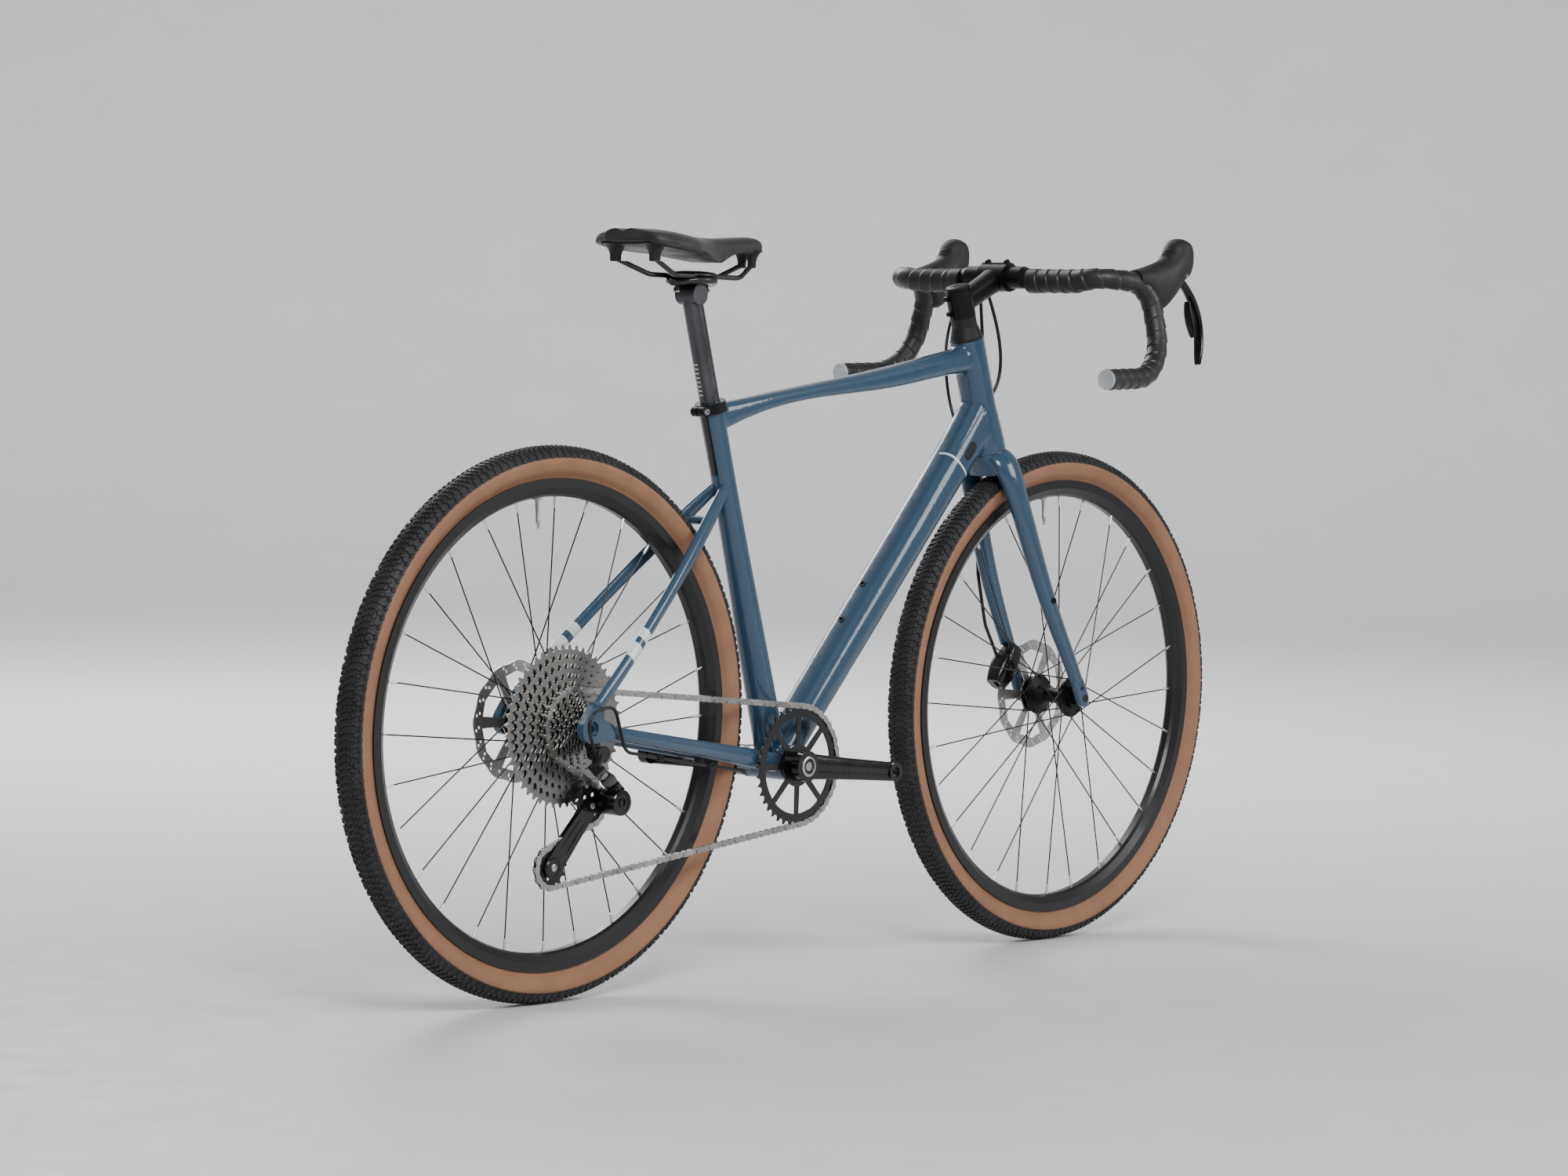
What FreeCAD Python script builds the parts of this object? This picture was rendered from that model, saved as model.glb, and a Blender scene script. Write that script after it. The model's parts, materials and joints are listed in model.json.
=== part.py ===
import FreeCAD, Part
import Sketcher
import math
import os
import re

# A gravel bicycle built up from its tubes, wheels, drivetrain, brakes, bars and seat.
# Frame of reference: origin on the ground midway between the axles, X forward,
# Y to the rider's left, Z up. The drive side is at negative Y. All sizes in mm.

doc = FreeCAD.newDocument("gravel_bicycle")
vec = FreeCAD.Vector

SIZES = {
    # stance
    "wheelbase": 1056, "wheel_radius": 360, "chainstay_length": 444, "bb_drop": 70,
    "head_angle": 71.5, "fork_rake": 48.5, "crown_height": 395, "head_tube_length": 168,
    "seat_angle": 73.3, "seat_tube_length": 511,
    # tyres, rims, hubs
    "tyre_width": 46, "bead_radius": 311, "rim_edge_radius": 318, "rim_width": 30, "rim_depth": 24,
    "rim_wall": 2.6, "running_gap": 0.05, "axle_radius": 8.5, "thru_axle_radius": 6,
    "front_spacing": 100, "rear_spacing": 142, "hub_flange_radius": 29, "hub_waist_radius": 11,
    "rotor_seat_radius": 16, "rotor_radius": 80, "rotor_thickness": 1.8, "front_rotor_offset": 37.4,
    "rear_rotor_offset": 55, "spoke_count": 28, "spoke_radius": 0.95, "nipple_radius": 1.9,
    "flange_thickness": 3, "front_left_flange": 24, "front_right_flange": 36,
    "rear_left_flange": 34, "rear_right_flange": 20,
    # frame tubes
    "head_top_radius": 24.5, "head_bottom_radius": 28, "head_bore_radius": 20,
    "seat_tube_radius": 17.5, "seat_tube_foot_radius": 21, "seat_bore_radius": 13.65,
    "bb_shell_radius": 22, "bb_bore_radius": 17.5, "bb_shell_width": 66, "bb_cup_width": 9,
    "top_tube_rear_depth": 24, "top_tube_front_depth": 40, "top_tube_width": 34,
    "down_tube_depth": 52, "down_tube_width": 50, "stay_radius": 8, "chainstay_depth": 26,
    "bridge_gap": 19.4, "dropout_thickness": 11, "dropout_radius": 19, "boss_radius": 5, "boss_hole_radius": 2.5,
    # fork and cockpit
    "steerer_radius": 14.3, "cover_height": 33, "cover_foot_radius": 23, "fork_leg_top": 23,
    "fork_leg_tip": 11, "fork_dropout_thickness": 12, "fork_dropout_radius": 15,
    "stem_length": 91, "stem_rise": 7.5, "stem_height": 40, "bar_clamp_radius": 15.9,
    "bar_radius": 11.9, "tape_radius": 15.6, "bar_half_width": 200, "bar_reach": 92, "bar_drop": 143,
    "bar_flare": 44, "bar_bare_half": 62, "plug_thickness": 4, "lever_length": 125, "lever_pin_radius": 2,
    # seat
    "post_radius": 13.6, "post_length": 300, "post_exposed": 148, "head_radius": 14, "rail_radius": 3.5,
    "rail_spacing": 44, "saddle_length": 280, "saddle_width": 146, "saddle_height": 42,
    # drivetrain
    "chain_pitch": 12.7, "roller_radius": 3.87, "chain_line": 46, "ring_teeth": 40, "drive_teeth": 24,
    "pulley_teeth": 13, "cog_pitch": 3.6, "cog_thickness": 1.5, "ring_thickness": 1.7,
    "swing_slant": 1.6,
    "crank_length": 175, "spindle_radius": 12, "pedal_hole_radius": 7.14, "crank_offset": 69,
    "pulley_spacing": 102, "cage_plate": 1.6, "hose_radius": 2.5, "housing_radius": 2.2,
}

sheet = doc.addObject("Spreadsheet::Sheet", "Sizes")
for row, (name, value) in enumerate(SIZES.items(), start=1):
    sheet.set("A%d" % row, name)
    sheet.set("B%d" % row, str(value))
    sheet.setAlias("B%d" % row, name)
doc.recompute()

nodes = []


def size(name):
    return float(sheet.get(name))


def bound(text):
    return re.sub(r"[a-z][a-z_0-9]+", lambda word: "Sizes." + word.group(0), text)


def number(text):
    return float(sheet.evalExpression(bound(text)))


def node(item):
    nodes.append(item)
    return item


def revolved(label, corners, plane="XY_Plane"):
    """A body turned from a closed profile of (radius, height) expressions about the vertical sketch axis."""
    body = doc.addObject("PartDesign::Body", label)
    sketch = body.newObject("Sketcher::SketchObject", label + "_profile")
    base = [item for item in body.Origin.OriginFeatures if item.Role == plane][0]
    sketch.AttachmentSupport = (base, [""])
    sketch.MapMode = "FlatFace"
    points = [vec(number(a), number(b), 0) for a, b in corners]
    count = len(points)
    for i in range(count):
        sketch.addGeometry(Part.LineSegment(points[i], points[(i + 1) % count]), False)
    for i in range(count):
        sketch.addConstraint(Sketcher.Constraint("Coincident", i, 2, (i + 1) % count, 1))
    for i, (a, b) in enumerate(corners):
        for kind, text, value, axis in (("DistanceX", a, points[i].x, -2), ("DistanceY", b, points[i].y, -1)):
            if text == "0":
                sketch.addConstraint(Sketcher.Constraint("PointOnObject", i, 1, axis))
                continue
            index = sketch.addConstraint(Sketcher.Constraint(kind, -1, 1, i, 1, value))
            sketch.setExpression("Constraints[%d]" % index, bound(text))
    turn = body.newObject("PartDesign::Revolution", label + "_turn")
    turn.Profile = sketch
    turn.ReferenceAxis = (sketch, ["V_Axis"])
    turn.Angle = 360
    body.Tip = turn
    return body


def feature(label, solids):
    """A node whose shape is set directly; several separate solids become one group."""
    item = doc.addObject("Part::Feature", label)
    if isinstance(solids, list):
        flat = []
        for one in solids:
            flat.extend(one.Solids)
        item.Shape = Part.makeCompound(flat)
    else:
        item.Shape = solids.Solids[0] if len(solids.Solids) == 1 else solids
    return node(item)


def rounded_path(points, radii):
    """Straight runs joined by tangent arcs: a corner radius for each inner point."""
    edges = []
    start = vec(points[0])
    for i in range(1, len(points) - 1):
        corner = vec(points[i])
        back = (vec(points[i - 1]) - corner).normalize()
        ahead = (vec(points[i + 1]) - corner).normalize()
        half = back.getAngle(ahead) / 2
        reach = radii[i - 1] / math.tan(half)
        middle = (back + ahead).normalize()
        centre = corner + middle * (radii[i - 1] / math.sin(half))
        first = corner + back * reach
        last = corner + ahead * reach
        if (first - start).Length > 1e-4:
            edges.append(Part.makeLine(start, first))
        edges.append(Part.Arc(first, centre - middle * radii[i - 1], last).toShape())
        start = last
    edges.append(Part.makeLine(start, vec(points[-1])))
    return Part.Wire(edges)


def pipe(path, radius):
    """A round section carried along a path of lines and tangent arcs."""
    first = path.OrderedEdges[0]
    start = first.valueAt(first.FirstParameter)
    along = first.tangentAt(first.FirstParameter)
    ring = Part.Wire([Part.makeCircle(radius, start, along)])
    return path.makePipeShell([ring], True, True)


def rod(start, end, radius):
    along = vec(end) - vec(start)
    return Part.makeCylinder(radius, along.Length, vec(start), along)


def loop(centre, across, up, half_across, half_up, power=2.0, count=16):
    """A closed superellipse section: |a/A|^n + |b/B|^n = 1."""
    points = []
    for i in range(count):
        turn = 2 * math.pi * i / count
        c, s = math.cos(turn), math.sin(turn)
        a = half_across * math.copysign(abs(c) ** (2 / power), c)
        b = half_up * math.copysign(abs(s) ** (2 / power), s)
        points.append(vec(centre) + vec(across) * a + vec(up) * b)
    curve = Part.BSplineCurve()
    curve.interpolate(Points=points, PeriodicFlag=True)
    return Part.Wire([curve.toShape()])


def tube(stations, power=2.0, side=vec(0, 1, 0)):
    """A loft through (centre, half width along side, half depth across it) stations."""
    wires = []
    for i, (centre, half_width, half_depth) in enumerate(stations):
        before = vec(stations[max(i - 1, 0)][0])
        after = vec(stations[min(i + 1, len(stations) - 1)][0])
        along = (after - before).normalize()
        across = (side - along * side.dot(along)).normalize()
        wires.append(loop(centre, across, along.cross(across), half_width, half_depth, power))
    return Part.makeLoft(wires, True, False)


def capsule(p, q, radius_p, radius_q):
    """The outline of two circles and their outer tangents in the XZ plane, as a face at y = 0."""
    gap = vec(q) - vec(p)
    length = gap.Length
    heading = math.atan2(gap.z, gap.x)
    lean = math.acos((radius_p - radius_q) / length)
    polar = lambda c, r, a: vec(c) + vec(math.cos(a), 0, math.sin(a)) * r
    a1 = polar(p, radius_p, heading + lean)
    b1 = polar(q, radius_q, heading + lean)
    a2 = polar(p, radius_p, heading - lean)
    b2 = polar(q, radius_q, heading - lean)
    edges = [Part.makeLine(a1, b1), Part.Arc(b1, polar(q, radius_q, heading), b2).toShape(),
             Part.makeLine(b2, a2), Part.Arc(a2, polar(p, radius_p, heading + math.pi), a1).toShape()]
    return Part.Face(Part.Wire(edges))


def slab(face, near, far):
    """A face at y = 0 raised from y = near to y = far."""
    moved = face.copy()
    moved.translate(vec(0, near, 0))
    return moved.extrude(vec(0, far - near, 0))


def mirrored(shape):
    return shape.mirror(vec(0, 0, 0), vec(0, 1, 0))


def box(low, high):
    span = vec(high) - vec(low)
    return Part.makeBox(span.x, span.y, span.z, vec(low))


def union(shapes):
    return shapes[0].multiFuse(shapes[1:]).removeSplitter()


def outermost(shape):
    """The largest solid of a shape, leaving out slivers that a cut has freed."""
    return max(shape.Solids, key=lambda s: s.Volume)


# Main points of the layout
rear_axle_at = vec(-size("wheelbase") / 2, 0, size("wheel_radius"))
front_axle_at = vec(size("wheelbase") / 2, 0, size("wheel_radius"))
bb_run = math.sqrt(size("chainstay_length") ** 2 - size("bb_drop") ** 2)
bb_at = rear_axle_at + vec(bb_run, 0, -size("bb_drop"))
lean = math.radians(90 - size("head_angle"))
steer_up = vec(-math.sin(lean), 0, math.cos(lean))
steer_ahead = vec(math.cos(lean), 0, math.sin(lean))
steer_foot = front_axle_at - steer_ahead * size("fork_rake")
steer_turn = FreeCAD.Rotation(vec(0, 1, 0), -(90 - size("head_angle")))
steer_place = FreeCAD.Placement(steer_foot, steer_turn)
seat_up = vec(-math.cos(math.radians(size("seat_angle"))), 0, math.sin(math.radians(size("seat_angle"))))
seat_top = bb_at + seat_up * size("seat_tube_length")
head_low = size("crown_height")
head_high = head_low + size("head_tube_length")


def in_steer(ahead, side, up):
    return steer_foot + steer_ahead * ahead + vec(0, side, 0) + steer_up * up


def steer_set(body):
    """Stand a turned body on the steering axis, its height measured from the axis's foot."""
    body.Placement = steer_place
    tilt = "((90 - Sizes.head_angle) * 1 deg)"
    body.setExpression(".Placement.Base.x", "Sizes.wheelbase / 2 - Sizes.fork_rake * cos" + tilt)
    body.setExpression(".Placement.Base.z", "Sizes.wheel_radius - Sizes.fork_rake * sin" + tilt)
    return body


def wheel_set(body, axle):
    body.Placement.Base = axle
    sign = "" if axle.x > 0 else "-"
    body.setExpression(".Placement.Base.x", sign + "Sizes.wheelbase / 2")
    body.setExpression(".Placement.Base.z", "Sizes.wheel_radius")
    return body


# Wheels
def rim(label, axle):
    edge = "rim_edge_radius"
    inner = "rim_edge_radius - rim_depth"
    half = "rim_width / 2"
    seat = half + " - rim_wall"
    upper = [(edge, half), (edge, seat), ("bead_radius", seat), ("bead_radius - 2", "rim_width * 0.3"),
             ("bead_radius - 5", "rim_width * 0.26")]
    lower = [(inner, "rim_width * 0.16"), (inner + " + rim_depth * 0.12", "rim_width * 0.3"),
             ("bead_radius - 5", half)]
    flip = lambda pairs: [(a, "-(" + b + ")") for a, b in reversed(pairs)]
    return node(wheel_set(revolved(label, upper + flip(upper) + flip(lower) + lower), axle))


def tyre(label, axle):
    """Casing with tread crown: outer and inner section curves, closed at the two beads."""
    high, wide = size("wheel_radius"), size("tyre_width") / 2
    bead, flange = size("bead_radius"), size("rim_edge_radius")
    seat = size("rim_width") / 2 - size("rim_wall")
    rise = high - flange
    outer = [(0, seat), (0.06, seat + 0.9), (0.24, wide * 0.87), (0.5, wide), (0.72, wide * 0.94),
             (0.88, wide * 0.72), (0.97, wide * 0.38), (1.0, 0)]
    inner = [(0, seat - 3), (0.1, seat - 1.6), (0.28, wide * 0.75), (0.5, wide * 0.86), (0.7, wide * 0.76),
             (0.82, wide * 0.5), (0.87, 0)]
    both = lambda side: side + [(a, -b) for a, b in reversed(side[:-1])]
    def curve(side):
        line = Part.BSplineCurve()
        line.interpolate([vec(flange + a * rise, b, 0) for a, b in both(side)])
        return line.toShape()
    edges = [curve(outer), curve(inner)]
    for sign in (1, -1):
        a, b = vec(flange, sign * seat, 0), vec(bead, sign * seat, 0)
        c, d = vec(bead, sign * (seat - 3), 0), vec(flange, sign * (seat - 3), 0)
        edges += [Part.makeLine(a, b), Part.makeLine(b, c), Part.makeLine(c, d)]
    face = Part.Face(Part.Wire(Part.__sortEdges__(edges)))
    solid = face.revolve(vec(0, 0, 0), vec(0, 1, 0), 360)
    solid.translate(axle)
    return feature(label, solid)


def hub(label, axle, left_end, left_flange, right_flange, right_end):
    bore = "axle_radius + running_gap"
    half = "flange_thickness / 2"
    seat, waist, ring = "rotor_seat_radius", "hub_waist_radius", "hub_flange_radius"
    corners = [(bore, "-(%s)" % right_end), (seat, "-(%s)" % right_end),
               (seat, "-(%s + %s + 1)" % (right_flange, half)), (ring, "-(%s + %s)" % (right_flange, half)),
               (ring, "-(%s - %s)" % (right_flange, half)), (seat, "-(%s - %s - 4)" % (right_flange, half)),
               (waist, "-(%s) / 3" % right_flange), (waist, "(%s) / 3" % left_flange),
               (seat, "%s - %s - 4" % (left_flange, half)), (ring, "%s - %s" % (left_flange, half)),
               (ring, "%s + %s" % (left_flange, half)), (seat, "%s + %s + 1" % (left_flange, half)),
               (seat, left_end), (bore, left_end)]
    return node(wheel_set(revolved(label, corners), axle))


def share_at(start, end, radius):
    """Share of the way from start to end, seen along the axle, at which a line crosses a circle about the axle."""
    run = end - start
    a, b = run.x**2 + run.z**2, start.x * run.x + start.z * run.z
    return (-b + math.sqrt(b * b - a * (start.x**2 + start.z**2 - radius**2))) / a


def spokes(label, axle, left_flange, right_flange):
    """Crossed spokes: half from each flange, leading and trailing in turn, each with its nipple."""
    total = int(size("spoke_count"))
    per_side = total // 2
    thin = size("spoke_radius")
    clear = size("flange_thickness") / 2 + thin
    ring = size("hub_flange_radius") - 2.5
    rim_in = size("rim_edge_radius") - size("rim_depth")
    solids = []
    for side, flange in ((1, left_flange), (-1, -right_flange)):
        for i in range(per_side):
            lead = 1 if i % 2 else -1
            rim_turn = 2 * math.pi * (2 * i + (0 if side > 0 else 1)) / total
            hub_turn = rim_turn + lead * math.radians(68)
            start = vec(ring * math.cos(hub_turn), 0, ring * math.sin(hub_turn))
            end = vec((rim_in + 1.5) * math.cos(rim_turn), side * 2.5, (rim_in + 1.5) * math.sin(rim_turn))
            if lead * side > 0:
                leaves = share_at(start, end, size("hub_flange_radius") + thin)
                start.y = (flange + side * (clear + 0.1) - leaves * end.y) / (1 - leaves)
            else:
                start.y = flange - side * (clear + 1.2)
            along = (end - start).normalize()
            spoke = rod(start, end - along * 4, thin)
            nipple = rod(end - along * 14, end, size("nipple_radius"))
            one = spoke.fuse(nipple)
            one.translate(axle)
            solids.append(one)
    return feature(label, solids)


def rotor(label, axle, offset):
    """Wavy brake ring on a six armed carrier, with a row of vent slots."""
    outer, thick = size("rotor_radius"), size("rotor_thickness")
    seat = size("rotor_seat_radius")
    def wavy(radius, depth, waves, phase):
        points = []
        for i in range(waves * 4):
            turn = 2 * math.pi * i / (waves * 4)
            r = radius + depth * math.cos(waves * turn + phase)
            points.append(vec(r * math.cos(turn), 0, r * math.sin(turn)))
        curve = Part.BSplineCurve()
        curve.interpolate(Points=points, PeriodicFlag=True)
        return Part.Wire([curve.toShape()])
    outline = Part.Face(wavy(outer - 1.2, 1.2, 12, 0))
    plate = slab(outline, -thick / 2, thick / 2)
    cuts = [rod((0, -thick, 0), (0, thick, 0), seat)]
    for i in range(6):
        turn = math.radians(60 * i)
        points = []
        for radius, degrees in ((27, 12), (27, 48), (outer * 0.8, 52), (outer * 0.83, 34), (outer * 0.8, 6)):
            a = turn + math.radians(degrees)
            points.append(vec(radius * math.cos(a), 0, radius * math.sin(a)))
        window = Part.Face(Part.makePolygon(points + points[:1]))
        cuts.append(slab(window, -thick, thick))
    for i in range(24):
        turn = math.radians(15 * i + 4)
        for radius in (outer * 0.875, outer * 0.935):
            a = turn + (0.05 if radius > outer * 0.9 else 0)
            at = vec(radius * math.cos(a), 0, radius * math.sin(a))
            cuts.append(rod(at - vec(0, thick, 0), at + vec(0, thick, 0), 1.9))
    solid = plate.cut(cuts)
    solid.translate(axle + vec(0, offset, 0))
    return feature(label, solid)


rim("front_rim", front_axle_at)
rim("rear_rim", rear_axle_at)
tyre("front_tyre", front_axle_at)
tyre("rear_tyre", rear_axle_at)
hub("front_hub", front_axle_at, "front_spacing / 2 - 6", "front_left_flange", "front_right_flange",
    "front_spacing / 2 - 6")
hub("rear_hub", rear_axle_at, "rear_spacing / 2 - 7", "rear_left_flange", "rear_right_flange",
    "rear_right_flange + 4")
spokes("front_spokes", front_axle_at, size("front_left_flange"), size("front_right_flange"))
spokes("rear_spokes", rear_axle_at, size("rear_left_flange"), size("rear_right_flange"))
rotor("front_rotor", front_axle_at, size("front_rotor_offset"))
rotor("rear_rotor", rear_axle_at, size("rear_rotor_offset"))


def axle(label, at, spacing, right_tip, left_tip, right_cap):
    """Through axle with the hub's fixed inner tube and end caps in one."""
    half = spacing + " / 2"
    corners = [("0", "-(%s + %s)" % (half, right_tip)), ("thru_axle_radius", "-(%s + %s)" % (half, right_tip)),
               ("thru_axle_radius", "-(%s)" % half), ("axle_radius + 2", "-(%s)" % half),
               ("axle_radius + 2", "-(%s - %s)" % (half, right_cap)),
               ("axle_radius", "-(%s - %s)" % (half, right_cap)), ("axle_radius", half + " - 5"),
               ("axle_radius + 4", half + " - 5"), ("axle_radius + 4", half), ("thru_axle_radius", half),
               ("thru_axle_radius", "%s + %s" % (half, left_tip)),
               ("thru_axle_radius + 3", "%s + %s" % (half, left_tip)),
               ("thru_axle_radius + 3", "%s + %s + 3" % (half, left_tip)),
               ("0", "%s + %s + 3" % (half, left_tip))]
    return node(wheel_set(revolved(label, corners), at))


axle("front_axle", front_axle_at, "front_spacing", "fork_dropout_thickness - 4", "fork_dropout_thickness", "5")
axle("rear_axle", rear_axle_at, "rear_spacing", "dropout_thickness - 5", "dropout_thickness", "0.8")

# Frame tubes
head = revolved("head_tube", [
    ("head_bore_radius", "crown_height"), ("head_bottom_radius", "crown_height"),
    ("head_bottom_radius", "crown_height + 14"), ("head_top_radius", "crown_height + head_tube_length * 0.4"),
    ("head_top_radius", "crown_height + head_tube_length"),
    ("head_bore_radius", "crown_height + head_tube_length"),
], "XZ_Plane")
steer_set(node(head))

shell = revolved("bb_shell", [
    ("bb_bore_radius", "-bb_shell_width / 2"), ("bb_shell_radius", "-bb_shell_width / 2"),
    ("bb_shell_radius", "bb_shell_width / 2"), ("bb_bore_radius", "bb_shell_width / 2")])
shell.Placement.Base = bb_at
stay_squared = "Sizes.chainstay_length * Sizes.chainstay_length - Sizes.bb_drop * Sizes.bb_drop"
shell.setExpression(".Placement.Base.x", "sqrt(%s) - Sizes.wheelbase / 2" % stay_squared)
shell.setExpression(".Placement.Base.z", "Sizes.wheel_radius - Sizes.bb_drop")
node(shell)
doc.recompute()

head_core = rod(in_steer(0, 0, head_low), in_steer(0, 0, head_high), size("head_bore_radius") + 0.5)
head_fill = head.Shape.fuse(head_core)
shell_fill = rod(bb_at - vec(0, size("bb_shell_width") / 2, 0), bb_at + vec(0, size("bb_shell_width") / 2, 0),
                 size("bb_shell_radius"))

post_bore = rod(bb_at, seat_top + seat_up * 40, size("seat_bore_radius"))
seat_stations = [(bb_at, size("seat_tube_foot_radius"), size("seat_tube_foot_radius")),
                 (bb_at + seat_up * size("seat_tube_length") * 0.3, size("seat_tube_foot_radius") * 0.97,
                  size("seat_tube_foot_radius") * 0.93),
                 (bb_at + seat_up * size("seat_tube_length") * 0.6, size("seat_tube_radius"),
                  size("seat_tube_radius")),
                 (seat_top, size("seat_tube_radius"), size("seat_tube_radius"))]
seat_fill = tube(seat_stations)
seat_solid = seat_fill.cut([shell_fill, post_bore])
feature("seat_tube", outermost(seat_solid))

top_head = in_steer(0, 0, head_high - 30)
top_seat = bb_at + seat_up * (size("seat_tube_length") - 16)
top_run = top_head - top_seat
half_width = size("top_tube_width") / 2
rear_depth, front_depth = size("top_tube_rear_depth") / 2, size("top_tube_front_depth") / 2
top_solid = tube([(top_seat - vec(0, 0, 8), half_width * 0.72, rear_depth * 1.7),
                  (top_seat + top_run * 0.07 - vec(0, 0, 4), half_width * 0.78, rear_depth * 1.32),
                  (top_seat + top_run * 0.16, half_width * 0.85, rear_depth),
                  (top_seat + top_run * 0.5, half_width * 0.95, rear_depth * 1.02),
                  (top_seat + top_run * 0.8, half_width, (rear_depth + front_depth) / 2),
                  (top_head, half_width * 1.05, front_depth)], 3.0)
top_solid = top_solid.cut([head_fill, seat_fill])
feature("top_tube", outermost(top_solid))

down_head = in_steer(0, 0, head_low + 56)
down_run = down_head - bb_at
down_half, down_deep = size("down_tube_width") / 2, size("down_tube_depth") / 2
down_solid = tube([(bb_at, down_half * 1.05, down_deep * 0.92),
                   (bb_at + down_run * 0.15, down_half, down_deep * 0.95),
                   (bb_at + down_run * 0.55, down_half, down_deep),
                   (bb_at + down_run * 0.82, down_half * 0.95, down_deep * 1.08),
                   (down_head, down_half * 0.9, down_deep * 1.35)], 2.7)
down_solid = down_solid.cut([head_fill, shell_fill, seat_fill])
down_solid = outermost(down_solid).cut(top_solid)

# Bottle bosses on the down tube and the seat tube
bosses = []
boss_holes = []
down_along = vec(down_run).normalize()
down_up = vec(0, 1, 0).cross(down_along) * -1
for share in (0.364, 0.465):
    at = bb_at + down_run * share
    bosses.append((at, down_up, down_deep))
seat_ahead = vec(seat_up.z, 0, -seat_up.x)
for along in (200, 264):
    bosses.append((bb_at + seat_up * along, seat_ahead, size("seat_tube_foot_radius") * 0.9))
boss_solids = []
for at, out, deep in bosses:
    sink = rod(at + out * (deep - 7), at + out * (deep + 9), size("boss_radius"))
    boss_holes.append(sink)
    insert = rod(at + out * (deep - 7), at + out * (deep + 1.4), size("boss_radius"))
    thread = rod(at + out * (deep - 5.6), at + out * (deep + 9), size("boss_hole_radius"))
    boss_solids.append(insert.cut(thread))
feature("down_tube", down_solid.cut(boss_holes[:2]))
seat_item = nodes[[n.Label for n in nodes].index("seat_tube")]
seat_item.Shape = seat_item.Shape.cut(boss_holes[2:]).Solids[0]
feature("bottle_bosses", boss_solids)

# Stays, bridges, dropouts
drop_in = size("rear_spacing") / 2
drop_out = drop_in + size("dropout_thickness")
stay = size("stay_radius")
stay_top = bb_at + seat_up * (size("seat_tube_length") - 117)
stay_foot = rear_axle_at + vec(8, 0, 24)
through = rod(rear_axle_at - vec(0, 200, 0), rear_axle_at + vec(0, 200, 0), size("thru_axle_radius"))


def flat_at(point):
    return vec(point.x, 0, point.z)


def dropout(side):
    face_in, face_out = side * drop_in, side * drop_out
    lobes = []
    for end in (stay_foot, rear_axle_at + vec(30, 0, -5)):
        lobe = capsule(flat_at(rear_axle_at), flat_at(end), size("dropout_radius"), 11)
        lobes.append(slab(lobe, face_in, face_out))
    solid = union(lobes).cut(through)
    if side < 0:
        solid = solid.cut(rod(rear_axle_at + vec(0, face_out, 0), rear_axle_at + vec(0, face_out + 4, 0), 10))
    return solid


def seatstay(side):
    start = stay_top + vec(-2, 0, 4)
    stations = []
    for share, wide, deep in ((0, 0.6, 0.9), (0.12, 0.75, 1.25), (0.3, 0.8, 1.25), (0.65, 0.75, 1.1),
                              (1, 0.52, 1.0)):
        at = start + (stay_foot - start) * share
        spread = 7 + (drop_in + 6 - 7) * share + 44 * share * (1 - share)
        stations.append((at + vec(0, side * spread, 0), stay * wide, stay * deep))
    return tube(stations)


def chainstay(side):
    run = rear_axle_at + vec(30, 0, -5) - bb_at
    deep = size("chainstay_depth") / 2
    stations = []
    for share, spread, wide, high in ((0.02, 20, 10, 1.0), (0.18, 34, 6.3, 1.0), (0.36, 41.5, 6.6, 0.92),
                                      (0.62, 58, 7, 0.8), (0.86, 71.5, 6.5, 0.72), (1.0, 77.2, 4.3, 0.7)):
        stations.append((bb_at + run * share + vec(0, side * spread, 0), wide, deep * high))
    return tube(stations)


drops = {side: dropout(side) for side in (-1, 1)}
feature("dropouts", [drops[-1], drops[1]])
left_stay = outermost(seatstay(1).cut([seat_fill, drops[1]]))
feature("seatstay_right", mirrored(left_stay))
feature("seatstay_left", left_stay)
for side, name in ((-1, "right"), (1, "left")):
    solid = chainstay(side).cut([shell_fill, drops[side]])
    feature("chainstay_" + name, outermost(solid))
part_of = lambda label: nodes[[n.Label for n in nodes].index(label)].Shape
stay_line = stay_top - stay_foot
foot_out = stay_foot - rear_axle_at
bridge_reach = size("wheel_radius") + size("bridge_gap")
half_b = stay_line.dot(foot_out)
rise_share = -half_b + math.sqrt(half_b**2 - stay_line.Length**2 * (foot_out.Length**2 - bridge_reach**2))
bridge_at = stay_foot + stay_line * (rise_share / stay_line.Length**2)
stay_bridge = rod(bridge_at - vec(0, 40, 0), bridge_at + vec(0, 40, 0), 6)
low_at = bb_at + vec(-56, 0, 6)
low_bridge = rod(low_at - vec(0, 40, 0), low_at + vec(0, 40, 0), 6)
middle = lambda shape: min(shape.Solids, key=lambda s: abs(s.CenterOfMass.y))
feature("stay_bridges", [middle(stay_bridge.cut([part_of("seatstay_right"), part_of("seatstay_left")])),
                         middle(low_bridge.cut([part_of("chainstay_right"), part_of("chainstay_left")]))])

# Replaceable hanger below the right dropout
hanger_at = rear_axle_at + vec(6, 0, -31)
hanger_solid = slab(capsule(flat_at(rear_axle_at), flat_at(hanger_at), 12, 9), -drop_in - 3, -drop_out + 1)
hanger_solid = hanger_solid.cut([drops[-1], through])
feature("derailleur_hanger", outermost(hanger_solid))

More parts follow.
